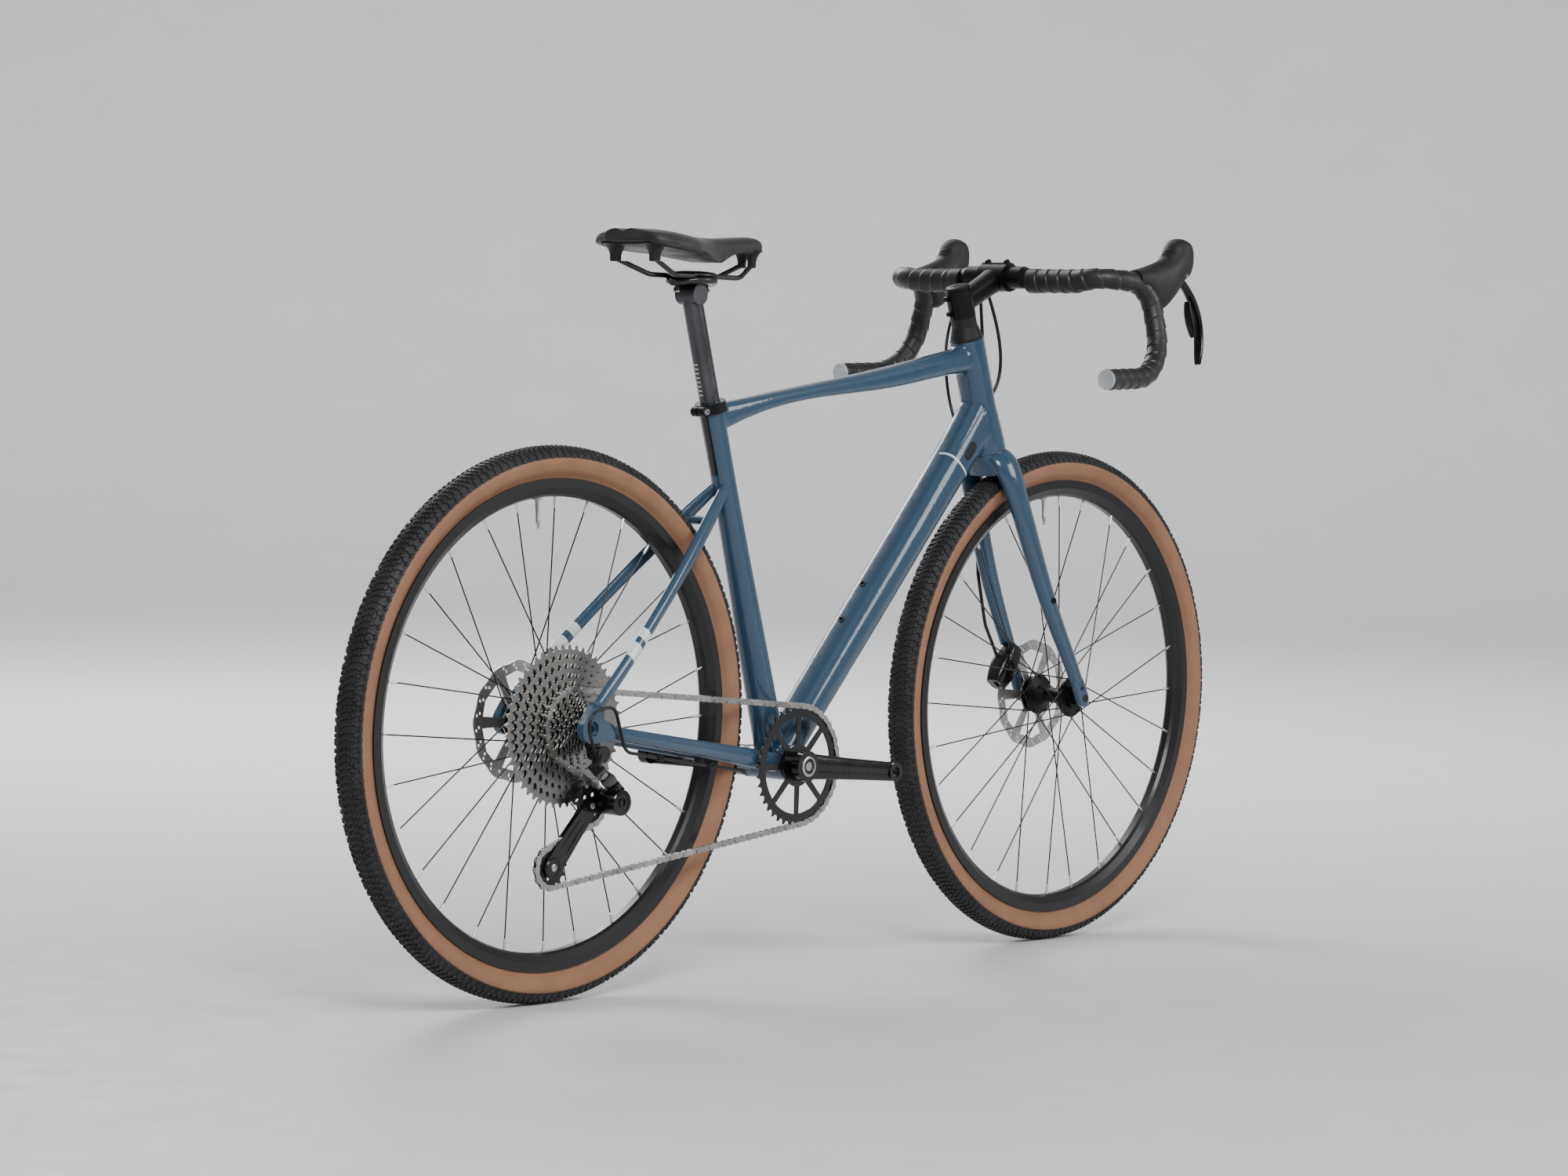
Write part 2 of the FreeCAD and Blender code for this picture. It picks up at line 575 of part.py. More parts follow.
# Seat clamp: split collar with a bolt lug behind
clamp_low, clamp_high = seat_top - seat_up * 14, seat_top
clamp_out = rod(clamp_low, clamp_high, size("seat_tube_radius") + 3.5)
lug_at = seat_top - seat_up * 7 - seat_ahead * (size("seat_tube_radius") + 5)
lug = rod(lug_at - vec(0, 11, 0), lug_at + vec(0, 11, 0), 6.5)
slit = box(lug_at + vec(-12, -1, -30), lug_at + vec(12, 1, 30))
clamp_hole = rod(clamp_low - seat_up * 9, seat_top + seat_up * 9, size("seat_tube_radius") + 0.02)
clamp_solid = clamp_out.fuse(lug).cut([clamp_hole, slit, part_of("top_tube")])
feature("seat_clamp", outermost(clamp_solid))


def ring(label, outer, inner, length, base, turn=None):
    """A plain ring: outer cylinder less the inner one, all bound to the sheet."""
    full = doc.addObject("Part::Cylinder", label + "_outside")
    hole = doc.addObject("Part::Cylinder", label + "_hole")
    for item, radius in ((full, outer), (hole, inner)):
        item.setExpression("Radius", bound(radius))
        item.setExpression("Height", bound(length))
    cut = doc.addObject("Part::Cut", label)
    cut.Base, cut.Tool = full, hole
    cut.Placement = FreeCAD.Placement(base, turn or FreeCAD.Rotation())
    return cut


def grouped(label, members):
    item = doc.addObject("Part::Compound", label)
    item.Links = members
    return node(item)


grouped("headset_cups", [
    ring("lower_bearing", "head_bore_radius", "steerer_radius + running_gap", "11",
         in_steer(0, 0, head_low), steer_turn),
    ring("upper_bearing", "head_bore_radius", "steerer_radius + running_gap", "11",
         in_steer(0, 0, head_high - 11), steer_turn)])
to_left = FreeCAD.Rotation(vec(1, 0, 0), -90)
grouped("bb_cups", [
    ring("right_cup", "bb_shell_radius", "spindle_radius + running_gap", "bb_cup_width",
         bb_at - vec(0, size("bb_shell_width") / 2 + size("bb_cup_width"), 0), to_left),
    ring("left_cup", "bb_shell_radius", "spindle_radius + running_gap", "bb_cup_width",
         bb_at + vec(0, size("bb_shell_width") / 2, 0), to_left)])

# Fork: crown with steerer, two legs
def leg(side):
    top, tip = size("fork_leg_top"), size("fork_leg_tip")
    rake = size("fork_rake")
    mid = size("front_spacing") / 2 + size("fork_dropout_thickness") / 2
    rise = head_low / 395.0
    stations = [(in_steer(0, side * 16, 391 * rise), 9, top * 0.85),
                (in_steer(0, side * 28, 378 * rise), 12.5, top),
                (in_steer(1, side * 36.5, 352 * rise), 12, top * 0.95),
                (in_steer(4, side * 42, 300 * rise), 11, top * 0.8),
                (in_steer(14, side * 48, 190 * rise), 10, top * 0.68),
                (in_steer(rake * 0.7, side * 53, 80 * rise), 8.5, tip * 1.15),
                (in_steer(rake, side * mid, 0), 6, tip)]
    solid = tube(stations)
    inner_face = size("front_spacing") / 2
    outer_face = inner_face + size("fork_dropout_thickness")
    foot = rod(front_axle_at + vec(0, side * inner_face, 0), front_axle_at + vec(0, side * outer_face, 0),
               size("fork_dropout_radius"))
    solid = solid.fuse(foot)
    inner = box(front_axle_at + vec(-60, -size("front_spacing") / 2, -60),
                front_axle_at + vec(60, size("front_spacing") / 2, 60))
    hole = rod(front_axle_at - vec(0, 200, 0), front_axle_at + vec(0, 200, 0), size("thru_axle_radius"))
    recess = rod(front_axle_at + vec(0, -mid - 2, 0), front_axle_at + vec(0, -mid - 20, 0), 9)
    return solid.cut([inner, hole, recess] if side < 0 else [inner, hole])


crown_solid = Part.makeLoft([loop(in_steer(0, 0, head_low - 31), vec(0, 1, 0), steer_ahead, 36, 23, 2.4),
                             loop(in_steer(0, 0, head_low - 14), vec(0, 1, 0), steer_ahead, 32, 25, 2.2),
                             loop(in_steer(0, 0, head_low - 0.6), vec(0, 1, 0), steer_ahead, 27.5, 27.5, 2.0)],
                            True, False)
steerer_top = head_high + size("cover_height") + size("stem_height")
steerer = rod(in_steer(0, 0, head_low - 5), in_steer(0, 0, steerer_top), size("steerer_radius"))
crown_solid = crown_solid.fuse(steerer)
feature("fork_crown", crown_solid)
above_crown = rod(in_steer(0, 0, head_low - 1.2), in_steer(0, 0, head_low + 60), 90)
for side, label in ((-1, "fork_leg_right"), (1, "fork_leg_left")):
    solid = leg(side).cut([crown_solid, above_crown])
    feature(label, outermost(solid))

# Stem, faceplate, cover and cap
cover = revolved("headset_cover", [
    ("steerer_radius", "crown_height + head_tube_length + 0.5"),
    ("cover_foot_radius", "crown_height + head_tube_length + 0.5"),
    ("cover_foot_radius", "crown_height + head_tube_length + 4"),
    ("cover_foot_radius * 0.8", "crown_height + head_tube_length + cover_height * 0.6"),
    ("cover_foot_radius * 0.8", "crown_height + head_tube_length + cover_height"),
    ("steerer_radius", "crown_height + head_tube_length + cover_height")], "XZ_Plane")
steer_set(node(cover))
stem_low = head_high + size("cover_height")
stem_high = stem_low + size("stem_height")
stem_root = in_steer(0, 0, (stem_low + stem_high) / 2)
climb = lean + math.radians(size("stem_rise"))
stem_along = vec(math.cos(climb), 0, math.sin(climb))
stem_up = vec(-math.sin(climb), 0, math.cos(climb))
bar_at = stem_root + stem_along * size("stem_length")
clamp_bar = size("bar_clamp_radius")
bar_hole = rod(bar_at - vec(0, 60, 0), bar_at + vec(0, 60, 0), clamp_bar)
stem_arm = tube([(stem_root, 17, 17), (stem_root + stem_along * size("stem_length") * 0.5, 15.5, 16),
                 (bar_at, 19, 18)], 2.6)
stem_collar = rod(in_steer(0, 0, stem_low), in_steer(0, 0, stem_high), size("steerer_radius") + 4.6)
stem_clamp = rod(bar_at - vec(0, 23, 0), bar_at + vec(0, 23, 0), clamp_bar + 4.6)
stem_body = union([stem_collar, stem_arm, stem_clamp])
steer_hole = rod(in_steer(0, 0, stem_low - 20), in_steer(0, 0, stem_high + 20), size("steerer_radius"))
front_half = Part.makeBox(60, 80, 80)
front_half.Placement = FreeCAD.Placement(bar_at, FreeCAD.Rotation(vec(0, 1, 0), -math.degrees(climb))).multiply(
    FreeCAD.Placement(vec(1, -40, -40), FreeCAD.Rotation()))
plate_half = front_half.copy()
plate_half.translate(stem_along * 1.2)
tail_gap = box(stem_root + vec(-40, -1, -40), stem_root + vec(-8, 1, 40))
stem_solid = stem_body.cut([steer_hole, bar_hole, front_half, tail_gap])
plate = rod(bar_at - vec(0, 23, 0), bar_at + vec(0, 23, 0), clamp_bar + 5.6).cut(bar_hole).common(plate_half)
cap = rod(in_steer(0, 0, stem_high), in_steer(0, 0, stem_high + 5), size("steerer_radius") + 3)
feature("stem", [outermost(stem_solid), plate, cap])

# Handlebar: flared drop bar in one run of straights and arcs
half, reach, drop, flare = size("bar_half_width"), size("bar_reach"), size("bar_drop"), size("bar_flare")


def bar_points(side):
    return [bar_at + vec(0, side * (half - 2), 0), bar_at + vec(reach, side * (half + 2), -5),
            bar_at + vec(reach, side * (half + flare * 0.8), -drop * 0.96),
            bar_at + vec(-reach * 0.59, side * (half + flare), -drop)]


right, left = bar_points(-1), bar_points(1)
bends = [42, 42, 76]
bar_tube = pipe(rounded_path(list(reversed(right)) + left, bends[::-1] + bends), size("bar_radius"))
bare = size("bar_bare_half")
bulge = Part.makeCylinder(clamp_bar, 2 * bare - 24, bar_at - vec(0, bare - 12, 0), vec(0, 1, 0))
taper = Part.makeCone(size("bar_radius"), clamp_bar, 12, bar_at - vec(0, bare, 0), vec(0, 1, 0))
taper_left = Part.makeCone(clamp_bar, size("bar_radius"), 12, bar_at + vec(0, bare - 12, 0), vec(0, 1, 0))
bar_solid = union([bar_tube, bulge, taper, taper_left])
feature("handlebar", bar_solid)
tapes = []
for side, points in ((-1, right), (1, left)):
    run = rounded_path([bar_at + vec(0, side * bare, 0)] + points, bends)
    sleeve_at = bar_at + vec(0, side * bare, -5)
    sleeve = rod(sleeve_at, sleeve_at + vec(0, side * (half - 46 - bare), 0), size("tape_radius") + 2.4)
    sleeve_end = sleeve_at + vec(0, side * (half - 46 - bare), 0)
    lead_out = Part.makeCone(size("tape_radius") + 2.4, 8, 22, sleeve_end, vec(0, side, 0))
    wrap = pipe(run, size("tape_radius")).fuse(sleeve).fuse(lead_out).cut(pipe(run, size("bar_radius")))
    tapes.append((run, outermost(wrap)))
plugs = []
for side, points in ((-1, right), (1, left)):
    out = (points[3] - points[2]).normalize()
    plugs.append(rod(points[3], points[3] + out * size("plug_thickness"), size("tape_radius") - 0.4))
feature("bar_tape", [tapes[0][1], tapes[1][1]] + plugs)

# Hoods, brake levers and the shift paddle
pivot_at = bar_at + vec(152, -(half + 6), 10)
pin = size("lever_pin_radius")
wrapped = pipe(tapes[0][0], size("tape_radius"))


def hood_right():
    at = lambda x, y, z: bar_at + vec(x, -(half + y), z)
    solid = tube([(at(62, 1, 0), 16.5, 17), (at(94, 3, 6), 17, 19), (at(126, 4.5, 14), 17, 21),
                  (at(152, 6, 19), 16, 20), (at(171, 6.5, 21), 10, 13)])
    knob = tube([(at(139, 5, 6), 14, 16), (at(150, 6, 29), 15.5, 16), (at(157, 6.3, 46), 15.5, 16),
                 (at(161, 6.5, 56), 13, 13), (at(162.5, 6.5, 61), 6, 6)])
    solid = solid.fuse(knob)
    chin = tube([(at(101, 4, -36), 12, 9), (at(118, 4.5, -16), 14.5, 17), (at(140, 5.5, 10), 14.5, 18)])
    solid = solid.fuse(chin)
    groove = rod(pivot_at - vec(0, 8, 0), pivot_at + vec(0, 8, 0), 7.5)
    mouth = box(pivot_at + vec(-7.5, -8, -60), pivot_at + vec(60, 8, 3))
    solid = solid.cut([wrapped, groove, mouth])
    solid = outermost(solid)
    return solid.fuse(rod(pivot_at - vec(0, 11, 0), pivot_at + vec(0, 11, 0), pin))


def lever_right():
    long = size("lever_length") / 125.0
    at = lambda x, y, z: pivot_at + vec(x, -y, z * long)
    blade = tube([(at(1, 0, -1), 6.8, 6), (at(16, 1, -13), 7, 5), (at(33, 3, -32), 8, 4.4),
                  (at(46, 8, -70), 8.5, 4), (at(43, 13, -104), 8, 3.6), (at(38, 16, -127), 5, 2.6)])
    barrel = rod(pivot_at - vec(0, 7, 0), pivot_at + vec(0, 7, 0), 7)
    eye = rod(pivot_at - vec(0, 20, 0), pivot_at + vec(0, 20, 0), pin + size("running_gap"))
    return blade.fuse(barrel).cut(eye)


hood_solid = hood_right()
lever_solid = lever_right()
peg_at = pivot_at + vec(27, -4, -42)
peg = rod(peg_at + vec(12, 0, 0), peg_at + vec(-8, 0, 0), 1.5)
feature("hood_right", hood_solid)
feature("hood_left", mirrored(hood_solid))
feature("lever_right", lever_solid.fuse(peg))
feature("lever_left", mirrored(lever_solid))
paddle = tube([(peg_at + vec(-3, 0, 5), 5, 2.4), (peg_at + vec(-3, -1, -8), 6.5, 2.4),
               (peg_at + vec(-1, -5, -30), 7, 2.2), (peg_at + vec(3, -8, -46), 5, 1.8)])
paddle_hole = rod(peg_at + vec(20, 0, 0), peg_at + vec(-20, 0, 0), 1.5 + size("running_gap"))
feature("shift_paddle", paddle.cut([paddle_hole, lever_solid]))

# Seat post, rails, base and cover
head_at = seat_top + seat_up * size("post_exposed")
post = doc.addObject("Part::Cylinder", "post_shaft")
post.setExpression("Radius", bound("post_radius"))
post.setExpression("Height", bound("post_length"))
post_foot = head_at - seat_up * size("post_length")
post.Placement = FreeCAD.Placement(post_foot, FreeCAD.Rotation(vec(0, 0, 1), seat_up))
head_bar = doc.addObject("Part::Cylinder", "post_head")
head_bar.setExpression("Radius", bound("head_radius"))
head_bar.Height = 34
head_bar.Placement = FreeCAD.Placement(head_at - vec(0, 17, 0), to_left)
seatpost = doc.addObject("Part::Fuse", "seatpost")
seatpost.Base, seatpost.Tool = post, head_bar
node(seatpost)

cover_top = 82
tall = size("saddle_height")
long = size("saddle_length")
wide = size("saddle_width")
# share of the length from the tail, half breadth, height and dip of the top line
SADDLE = ((0.0, 0.22, 0.5, 0), (0.04, 0.4, 0.82, 0), (0.14, 0.5, 1.0, 0), (0.28, 0.475, 1.0, -3),
          (0.42, 0.35, 0.95, -6), (0.57, 0.225, 0.9, -6), (0.75, 0.165, 0.86, -4), (0.9, 0.135, 0.8, -2),
          (0.97, 0.1, 0.62, -4), (1.0, 0.05, 0.35, -8))


def saddle_form(narrow):
    wires = []
    for share, breadth, height, dip in SADDLE:
        x = head_at.x - long * 0.54 + long * share
        top = head_at.z + cover_top + dip
        rise = tall * height * 0.62
        half_wide = wide * breadth * narrow
        wires.append(loop(vec(x, 0, top - rise), vec(0, 1, 0), vec(0, 0, 1), half_wide, rise, 2.5))
    return Part.makeLoft(wires, True, False)


sill = head_at.z + cover_top - tall + 6
big = 400
sill_up = sill - head_at.z
above_sill = box(head_at + vec(-big, -big, sill_up), head_at + vec(big, big, big))
below_sill = box(head_at + vec(-big, -big, sill_up - 6), head_at + vec(big, big, sill_up))
cover_solid = saddle_form(1.0).common(above_sill)
base_solid = saddle_form(0.93).common(below_sill)
rails = []
rail_z = size("head_radius") + 10
spread = size("rail_spacing") / 2
for side in (-1, 1):
    points = [head_at + vec(108, side * 9, sill_up - 3), head_at + vec(70, side * spread, rail_z),
              head_at + vec(-58, side * spread, rail_z), head_at + vec(-110, side * spread * 1.6, sill_up - 3)]
    rails.append(pipe(rounded_path(points, [30, 30]), size("rail_radius")))
rails = [outermost(rail.cut(base_solid)) for rail in rails]
head_room = rod(head_at - vec(0, 60, 0), head_at + vec(0, 60, 0), size("head_radius") + size("running_gap"))
on_head = lambda x, z: head_at + vec(x, 0, z)
cradle = tube([(on_head(-36, rail_z - 10), 6, 4), (on_head(-20, rail_z - 6), spread + 6, 6),
               (on_head(20, rail_z - 6), spread + 6, 6), (on_head(36, rail_z - 10), 6, 4)], 3.0)
yoke = tube([(on_head(-36, rail_z + 1), 6, 3.4), (on_head(-18, rail_z + 1), spread + 6, 5.6),
             (on_head(18, rail_z + 1), spread + 6, 5.6), (on_head(36, rail_z + 1), 6, 3.4)], 3.0)
yoke = yoke.common(box(head_at + vec(-60, -60, rail_z + 0.4), head_at + vec(60, 60, rail_z + 30)))
bolts = []
for x in (-29, 29):
    bolts.append(rod(on_head(x, rail_z - 17), on_head(x, rail_z + 2), 2.5))
    bolts.append(rod(on_head(x, rail_z - 21), on_head(x, rail_z - 15.5), 4.2))
cradle = cradle.cut([head_room] + rails + bolts)
yoke = union([yoke] + bolts).cut(rails)
feature("saddle_rails", rails + [outermost(cradle), outermost(yoke)])
feature("saddle_base", base_solid)
feature("saddle_cover", cover_solid)

# Brake calipers: a block across the rotor with a slot and a pad on each side
def caliper(axle, offset, outward, holder):
    tangent = vec(0, 1, 0).cross(outward)
    middle = axle + outward * (size("rotor_radius") - 4) + vec(0, offset, 0)
    outer = middle + vec(0, 3.5, 0)
    block = tube([(outer - tangent * 33, 12, 13), (outer - tangent * 22, 14.5, 16),
                  (outer + tangent * 22, 14.5, 16), (outer + tangent * 33, 12, 13)], 3.5)
    turn = FreeCAD.Rotation(outward, vec(0, 1, 0), tangent, "XYZ")
    def slot(low, high):
        one = box(low, high)
        one.Placement = FreeCAD.Placement(middle, turn).multiply(one.Placement)
        return one
    gap = slot(vec(-40, -4, -50), vec(8, 4, 50))
    body = block.cut([gap] + holder)
    pads = [slot(vec(-14, 1.4, -15), vec(6, 4, 15)), slot(vec(-14, -4, -15), vec(6, -1.4, 15))]
    return [outermost(body)] + pads


back_turn = math.radians(37)
front_out = steer_up * math.cos(back_turn) - steer_ahead * math.sin(back_turn)
front_caliper = caliper(front_axle_at, size("front_rotor_offset"), front_out, [part_of("fork_leg_left")])
feature("front_caliper", front_caliper)
rear_out = vec(math.cos(math.radians(24)), 0, math.sin(math.radians(24)))
rear_caliper = caliper(rear_axle_at, size("rear_rotor_offset"), rear_out,
                       [part_of("chainstay_left"), part_of("seatstay_left"), drops[1]])
feature("rear_caliper", rear_caliper)

# Drivetrain layout: chain loop round the ring, the drive sprocket and the two derailleur pulleys
pitch, line = size("chain_pitch"), -size("chain_line")
COGS = (10, 12, 14, 16, 18, 21, 24, 28, 33, 39, 45, 51)
drive_at = min(range(len(COGS)), key=lambda i: abs(COGS[i] - size("drive_teeth")))
ring_teeth, drive_teeth, pulley_teeth = int(size("ring_teeth")), COGS[drive_at], int(size("pulley_teeth"))
guide_at = rear_axle_at + vec(34, 0, -102)
swing_at = rear_axle_at + vec(57, 0, -97)


def pitch_radius(teeth):
    return pitch / (2 * math.sin(math.pi / teeth))


def on_circle(centre, radius, angle):
    return vec(centre.x + radius * math.cos(angle), 0, centre.z + radius * math.sin(angle))


def heading(a, b):
    """Direction of the tangent from circle a to circle b; each is (centre, teeth, turning sense)."""
    gap = b[0] - a[0]
    length = math.hypot(gap.x, gap.z)
    offset = a[2] * pitch_radius(a[1]) - b[2] * pitch_radius(b[1])
    return math.atan2(gap.z, gap.x) + math.asin(offset / length)


def touch_angle(sense, direction):
    return direction - math.pi / 2 if sense > 0 else direction + math.pi / 2


def near(angle, other):
    """angle moved by whole turns to lie within half a turn of other."""
    return other + (angle - other + math.pi) % (2 * math.pi) - math.pi


def landing(start, span, wheel, aim):
    """Angle on a wheel's pitch circle at the given distance from start, nearest the aim angle."""
    centre, teeth, sense = wheel
    radius = pitch_radius(teeth)
    gap = start - flat_at(centre)
    far = math.hypot(gap.x, gap.z)
    share = (far * far + radius * radius - span * span) / (2 * far * radius)
    share = max(-1.0, min(1.0, share))
    base = math.atan2(gap.z, gap.x)
    options = [near(base + math.acos(share), aim), near(base - math.acos(share), aim)]
    return min(options, key=lambda a: abs(a - aim))


def chain_loop(cage_angle, plan=None):
    """Pins of the chain from the ring's top round all four wheels, with the closing span's error."""
    tension_at = guide_at + vec(math.cos(cage_angle), 0, math.sin(cage_angle)) * size("pulley_spacing")
    wheels = [(bb_at, ring_teeth, 1), (rear_axle_at, drive_teeth, 1), (guide_at, pulley_teeth, -1),
              (tension_at, pulley_teeth, 1)]
    count = len(wheels)
    out = [heading(wheels[i], wheels[(i + 1) % count]) for i in range(count)]
    leave = touch_angle(1, out[0])
    pins = [on_circle(bb_at, pitch_radius(ring_teeth), leave)]
    phases, made = [leave], []
    for i in range(1, count):
        wheel = wheels[i]
        centre, teeth, sense = wheel
        aim = touch_angle(sense, out[i - 1])
        target = on_circle(centre, pitch_radius(teeth), aim)
        links = plan[i - 1][0] if plan else round((target - pins[-1]).Length / pitch)
        angle = landing(pins[-1], links * pitch, wheel, aim)
        arrive = on_circle(centre, pitch_radius(teeth), angle)
        start = pins[-1]
        pins += [start + (arrive - start) * (k / links) for k in range(1, links + 1)]
        step = sense * 2 * math.pi / teeth
        turn = (touch_angle(sense, out[i]) - angle) * sense
        wraps = plan[i - 1][1] if plan else round((turn % (2 * math.pi)) * teeth / (2 * math.pi))
        pins += [on_circle(centre, pitch_radius(teeth), angle + step * k) for k in range(1, wraps + 1)]
        phases.append(angle)
        made.append((links, wraps))
    aim = touch_angle(1, out[3])
    ring_step = 2 * math.pi / ring_teeth
    wraps = plan[3][1] if plan else round(((leave - aim) % (2 * math.pi)) / ring_step)
    arrive = on_circle(bb_at, pitch_radius(ring_teeth), leave - wraps * ring_step)
    span = (arrive - pins[-1]).Length
    links = plan[3][0] if plan else round(span / pitch)
    made.append((links, wraps))
    error = span - links * pitch
    start = pins[-1]
    pins += [start + (arrive - start) * (k / links) for k in range(1, links + 1)]
    for k in range(1, wraps):
        pins.append(on_circle(bb_at, pitch_radius(ring_teeth), leave - (wraps - k) * ring_step))
    return pins, phases, made, error, tension_at


def closed_chain():
    """Swing the cage until the last span holds a whole, even number of links."""
    aim = math.atan2(-78, -62)
    plan = chain_loop(aim)[2]
    if sum(a + b for a, b in plan) % 2:
        plan[3] = (plan[3][0] + 1, plan[3][1])
    low, high = aim - 0.5, aim + 0.5
    error_low = chain_loop(low, plan)[3]
    for _ in range(60):
        middle_angle = (low + high) / 2
        error = chain_loop(middle_angle, plan)[3]
        if (error > 0) == (error_low > 0):
            low, error_low = middle_angle, error
        else:
            high = middle_angle
    return chain_loop((low + high) / 2, plan)


pins, phases, plan, closing_error, tension_at = closed_chain()


def sprocket(teeth, thickness, side, centre, phase, bore, tip=2.2):
    """Toothed plate with round roller seats on the pitch circle and flat topped teeth."""
    radius, seat = pitch_radius(teeth), size("roller_radius") + 0.25
    edges = []
    spread = math.radians(60)
    step = 2 * math.pi / teeth
    ends = []
    for i in range(teeth):
        turn = phase + i * step
        at = on_circle(vec(0, 0, 0), radius, turn)
        arc = [at + on_circle(vec(0, 0, 0), seat, turn + math.pi + lean_by) for lean_by in (spread, 0, -spread)]
        crest = turn + step / 2
        tips = [on_circle(vec(0, 0, 0), radius + tip, crest + shift / radius) for shift in (-0.7, 0.7)]
        ends.append((arc, tips))
    for i in range(teeth):
        arc, tips = ends[i]
        following = ends[(i + 1) % teeth][0]
        edges += [Part.Arc(*arc).toShape(), Part.makeLine(arc[2], tips[0]), Part.makeLine(tips[0], tips[1]),
                  Part.makeLine(tips[1], following[0])]
    face = Part.Face(Part.Wire(edges))
    solid = slab(face, -thickness / 2, thickness / 2).cut(rod((0, -9, 0), (0, 9, 0), bore))
    solid.translate(flat_at(centre) + vec(0, side, 0))
    return solid


def drilled(plate, centre, side, ring_radius, hole_radius, count, first):
    holes = []
    for i in range(count):
        at = on_circle(centre, ring_radius, first + 2 * math.pi * i / count) + vec(0, side, 0)
        holes.append(rod(at - vec(0, 4, 0), at + vec(0, 4, 0), hole_radius))
    return plate.cut(holes)


# Cassette: sprockets on a core that turns on the rear axle
core_radius = 17
cogs = []
for i, teeth in enumerate(COGS):
    side = line + (i - drive_at) * size("cog_pitch")
    phase = phases[1] if i == drive_at else 0.13 * i
    bore = 13.5 if i == 0 else core_radius
    cog = sprocket(teeth, size("cog_thickness"), side, rear_axle_at, phase, bore)
    room = pitch_radius(teeth) - 5 - core_radius
    if room > 14:
        cog = drilled(cog, rear_axle_at, side, core_radius + room * 0.62,
                      min(room * 0.24, (core_radius + room * 0.62) * 0.19), 9 if room < 30 else 12, 0.1 * i)
    cogs.append(cog)
small_side = line - drive_at * size("cog_pitch")
inner_side = line + (len(COGS) - 1 - drive_at) * size("cog_pitch")
core = rod((0, small_side - 1.9, 0), (0, inner_side + 2, 0), 13.5)
core = core.fuse(rod((0, small_side + 1.2, 0), (0, inner_side + 2, 0), core_radius)).removeSplitter()
core = core.cut(rod((0, -99, 0), (0, 99, 0), size("axle_radius") + size("running_gap")))
core.translate(rear_axle_at)
feature("cassette", cogs + [core])

# Crankset
crank_drop = math.radians(5)
crank_along = vec(math.cos(crank_drop), 0, -math.sin(crank_drop))
ring_side = line
ring_plate = sprocket(ring_teeth, size("ring_thickness"), ring_side, bb_at, phases[0], size("spindle_radius"))
windows = []
arms = 8
for i in range(arms):
    low_turn, high_turn = 2 * math.pi * i / arms, 2 * math.pi * (i + 1) / arms
    inner_r, outer_r = 29.0, pitch_radius(ring_teeth) - 15
    corners = []
    for radius, margin in ((inner_r, 4.6 / inner_r), (outer_r, 4.0 / outer_r)):
        corners.append([on_circle(bb_at, radius, t) for t in (low_turn + margin, (low_turn + high_turn) / 2,
                                                              high_turn - margin)])
    inner_arc, outer_arc = corners
    wire = Part.Wire([Part.Arc(*inner_arc).toShape(), Part.makeLine(inner_arc[2], outer_arc[2]),
                      Part.Arc(*reversed(outer_arc)).toShape(), Part.makeLine(outer_arc[0], inner_arc[0])])
    windows.append(slab(Part.Face(wire), ring_side - 5, ring_side + 5))
feature("chainring", ring_plate.cut(windows))


def crank(side, direction, inner_face, boss_width):
    """Arm from the spindle to the pedal eye, tapering and stepping outwards, with a pedal hole."""
    root = bb_at + vec(0, side * (inner_face + boss_width / 2), 0)
    eye = bb_at + direction * size("crank_length") + vec(0, side * size("crank_offset"), 0)
    run = eye - root
    arm = tube([(root, 6.4, 18.5), (root + run * 0.22, 7.4, 16.5), (root + run * 0.6, 7.2, 14.5),
                (eye, 5.6, 13)], 4.0, vec(0, side, 0))
    boss = rod(bb_at + vec(0, side * inner_face, 0), bb_at + vec(0, side * (inner_face + boss_width), 0), 21)
    tip = rod(eye - vec(0, side * 7, 0), eye + vec(0, side * 7, 0), 13.5)
    hole = rod(eye - vec(0, 20, 0), eye + vec(0, 20, 0), size("pedal_hole_radius"))
    return union([arm, boss, tip]).cut(hole)


spindle_right = -ring_side + size("ring_thickness") / 2
cup_face = size("bb_shell_width") / 2 + size("bb_cup_width")
left_face = cup_face + 1.5
right_arm = crank(-1, crank_along, spindle_right, 19)
left_reach = left_face + 18
spindle = rod(bb_at - vec(0, spindle_right + 4, 0), bb_at + vec(0, left_reach, 0), size("spindle_radius"))
feature("crank_arm_right", [right_arm.cut(spindle), spindle])
left_arm = crank(1, crank_along * -1, left_face, 18)
feature("crank_arm_left", left_arm.cut(spindle))

# Chain: outer links with pins and inner links with rollers, turn about
inner_near, inner_far, outer_near, outer_far = 1.05, 1.75, 1.85, 2.6


def link_plate(near_y, far_y, round_end, waist):
    a, b = vec(0, 0, 0), vec(pitch, 0, 0)
    plate = slab(capsule(a, b + vec(0, 0, 0.0001), round_end, round_end - 0.0001), near_y, far_y)
    bites = [rod((pitch / 2, near_y - 1, sign * (waist + 6)), (pitch / 2, far_y + 1, sign * (waist + 6)), 6)
             for sign in (-1, 1)]
    return plate.cut(bites)


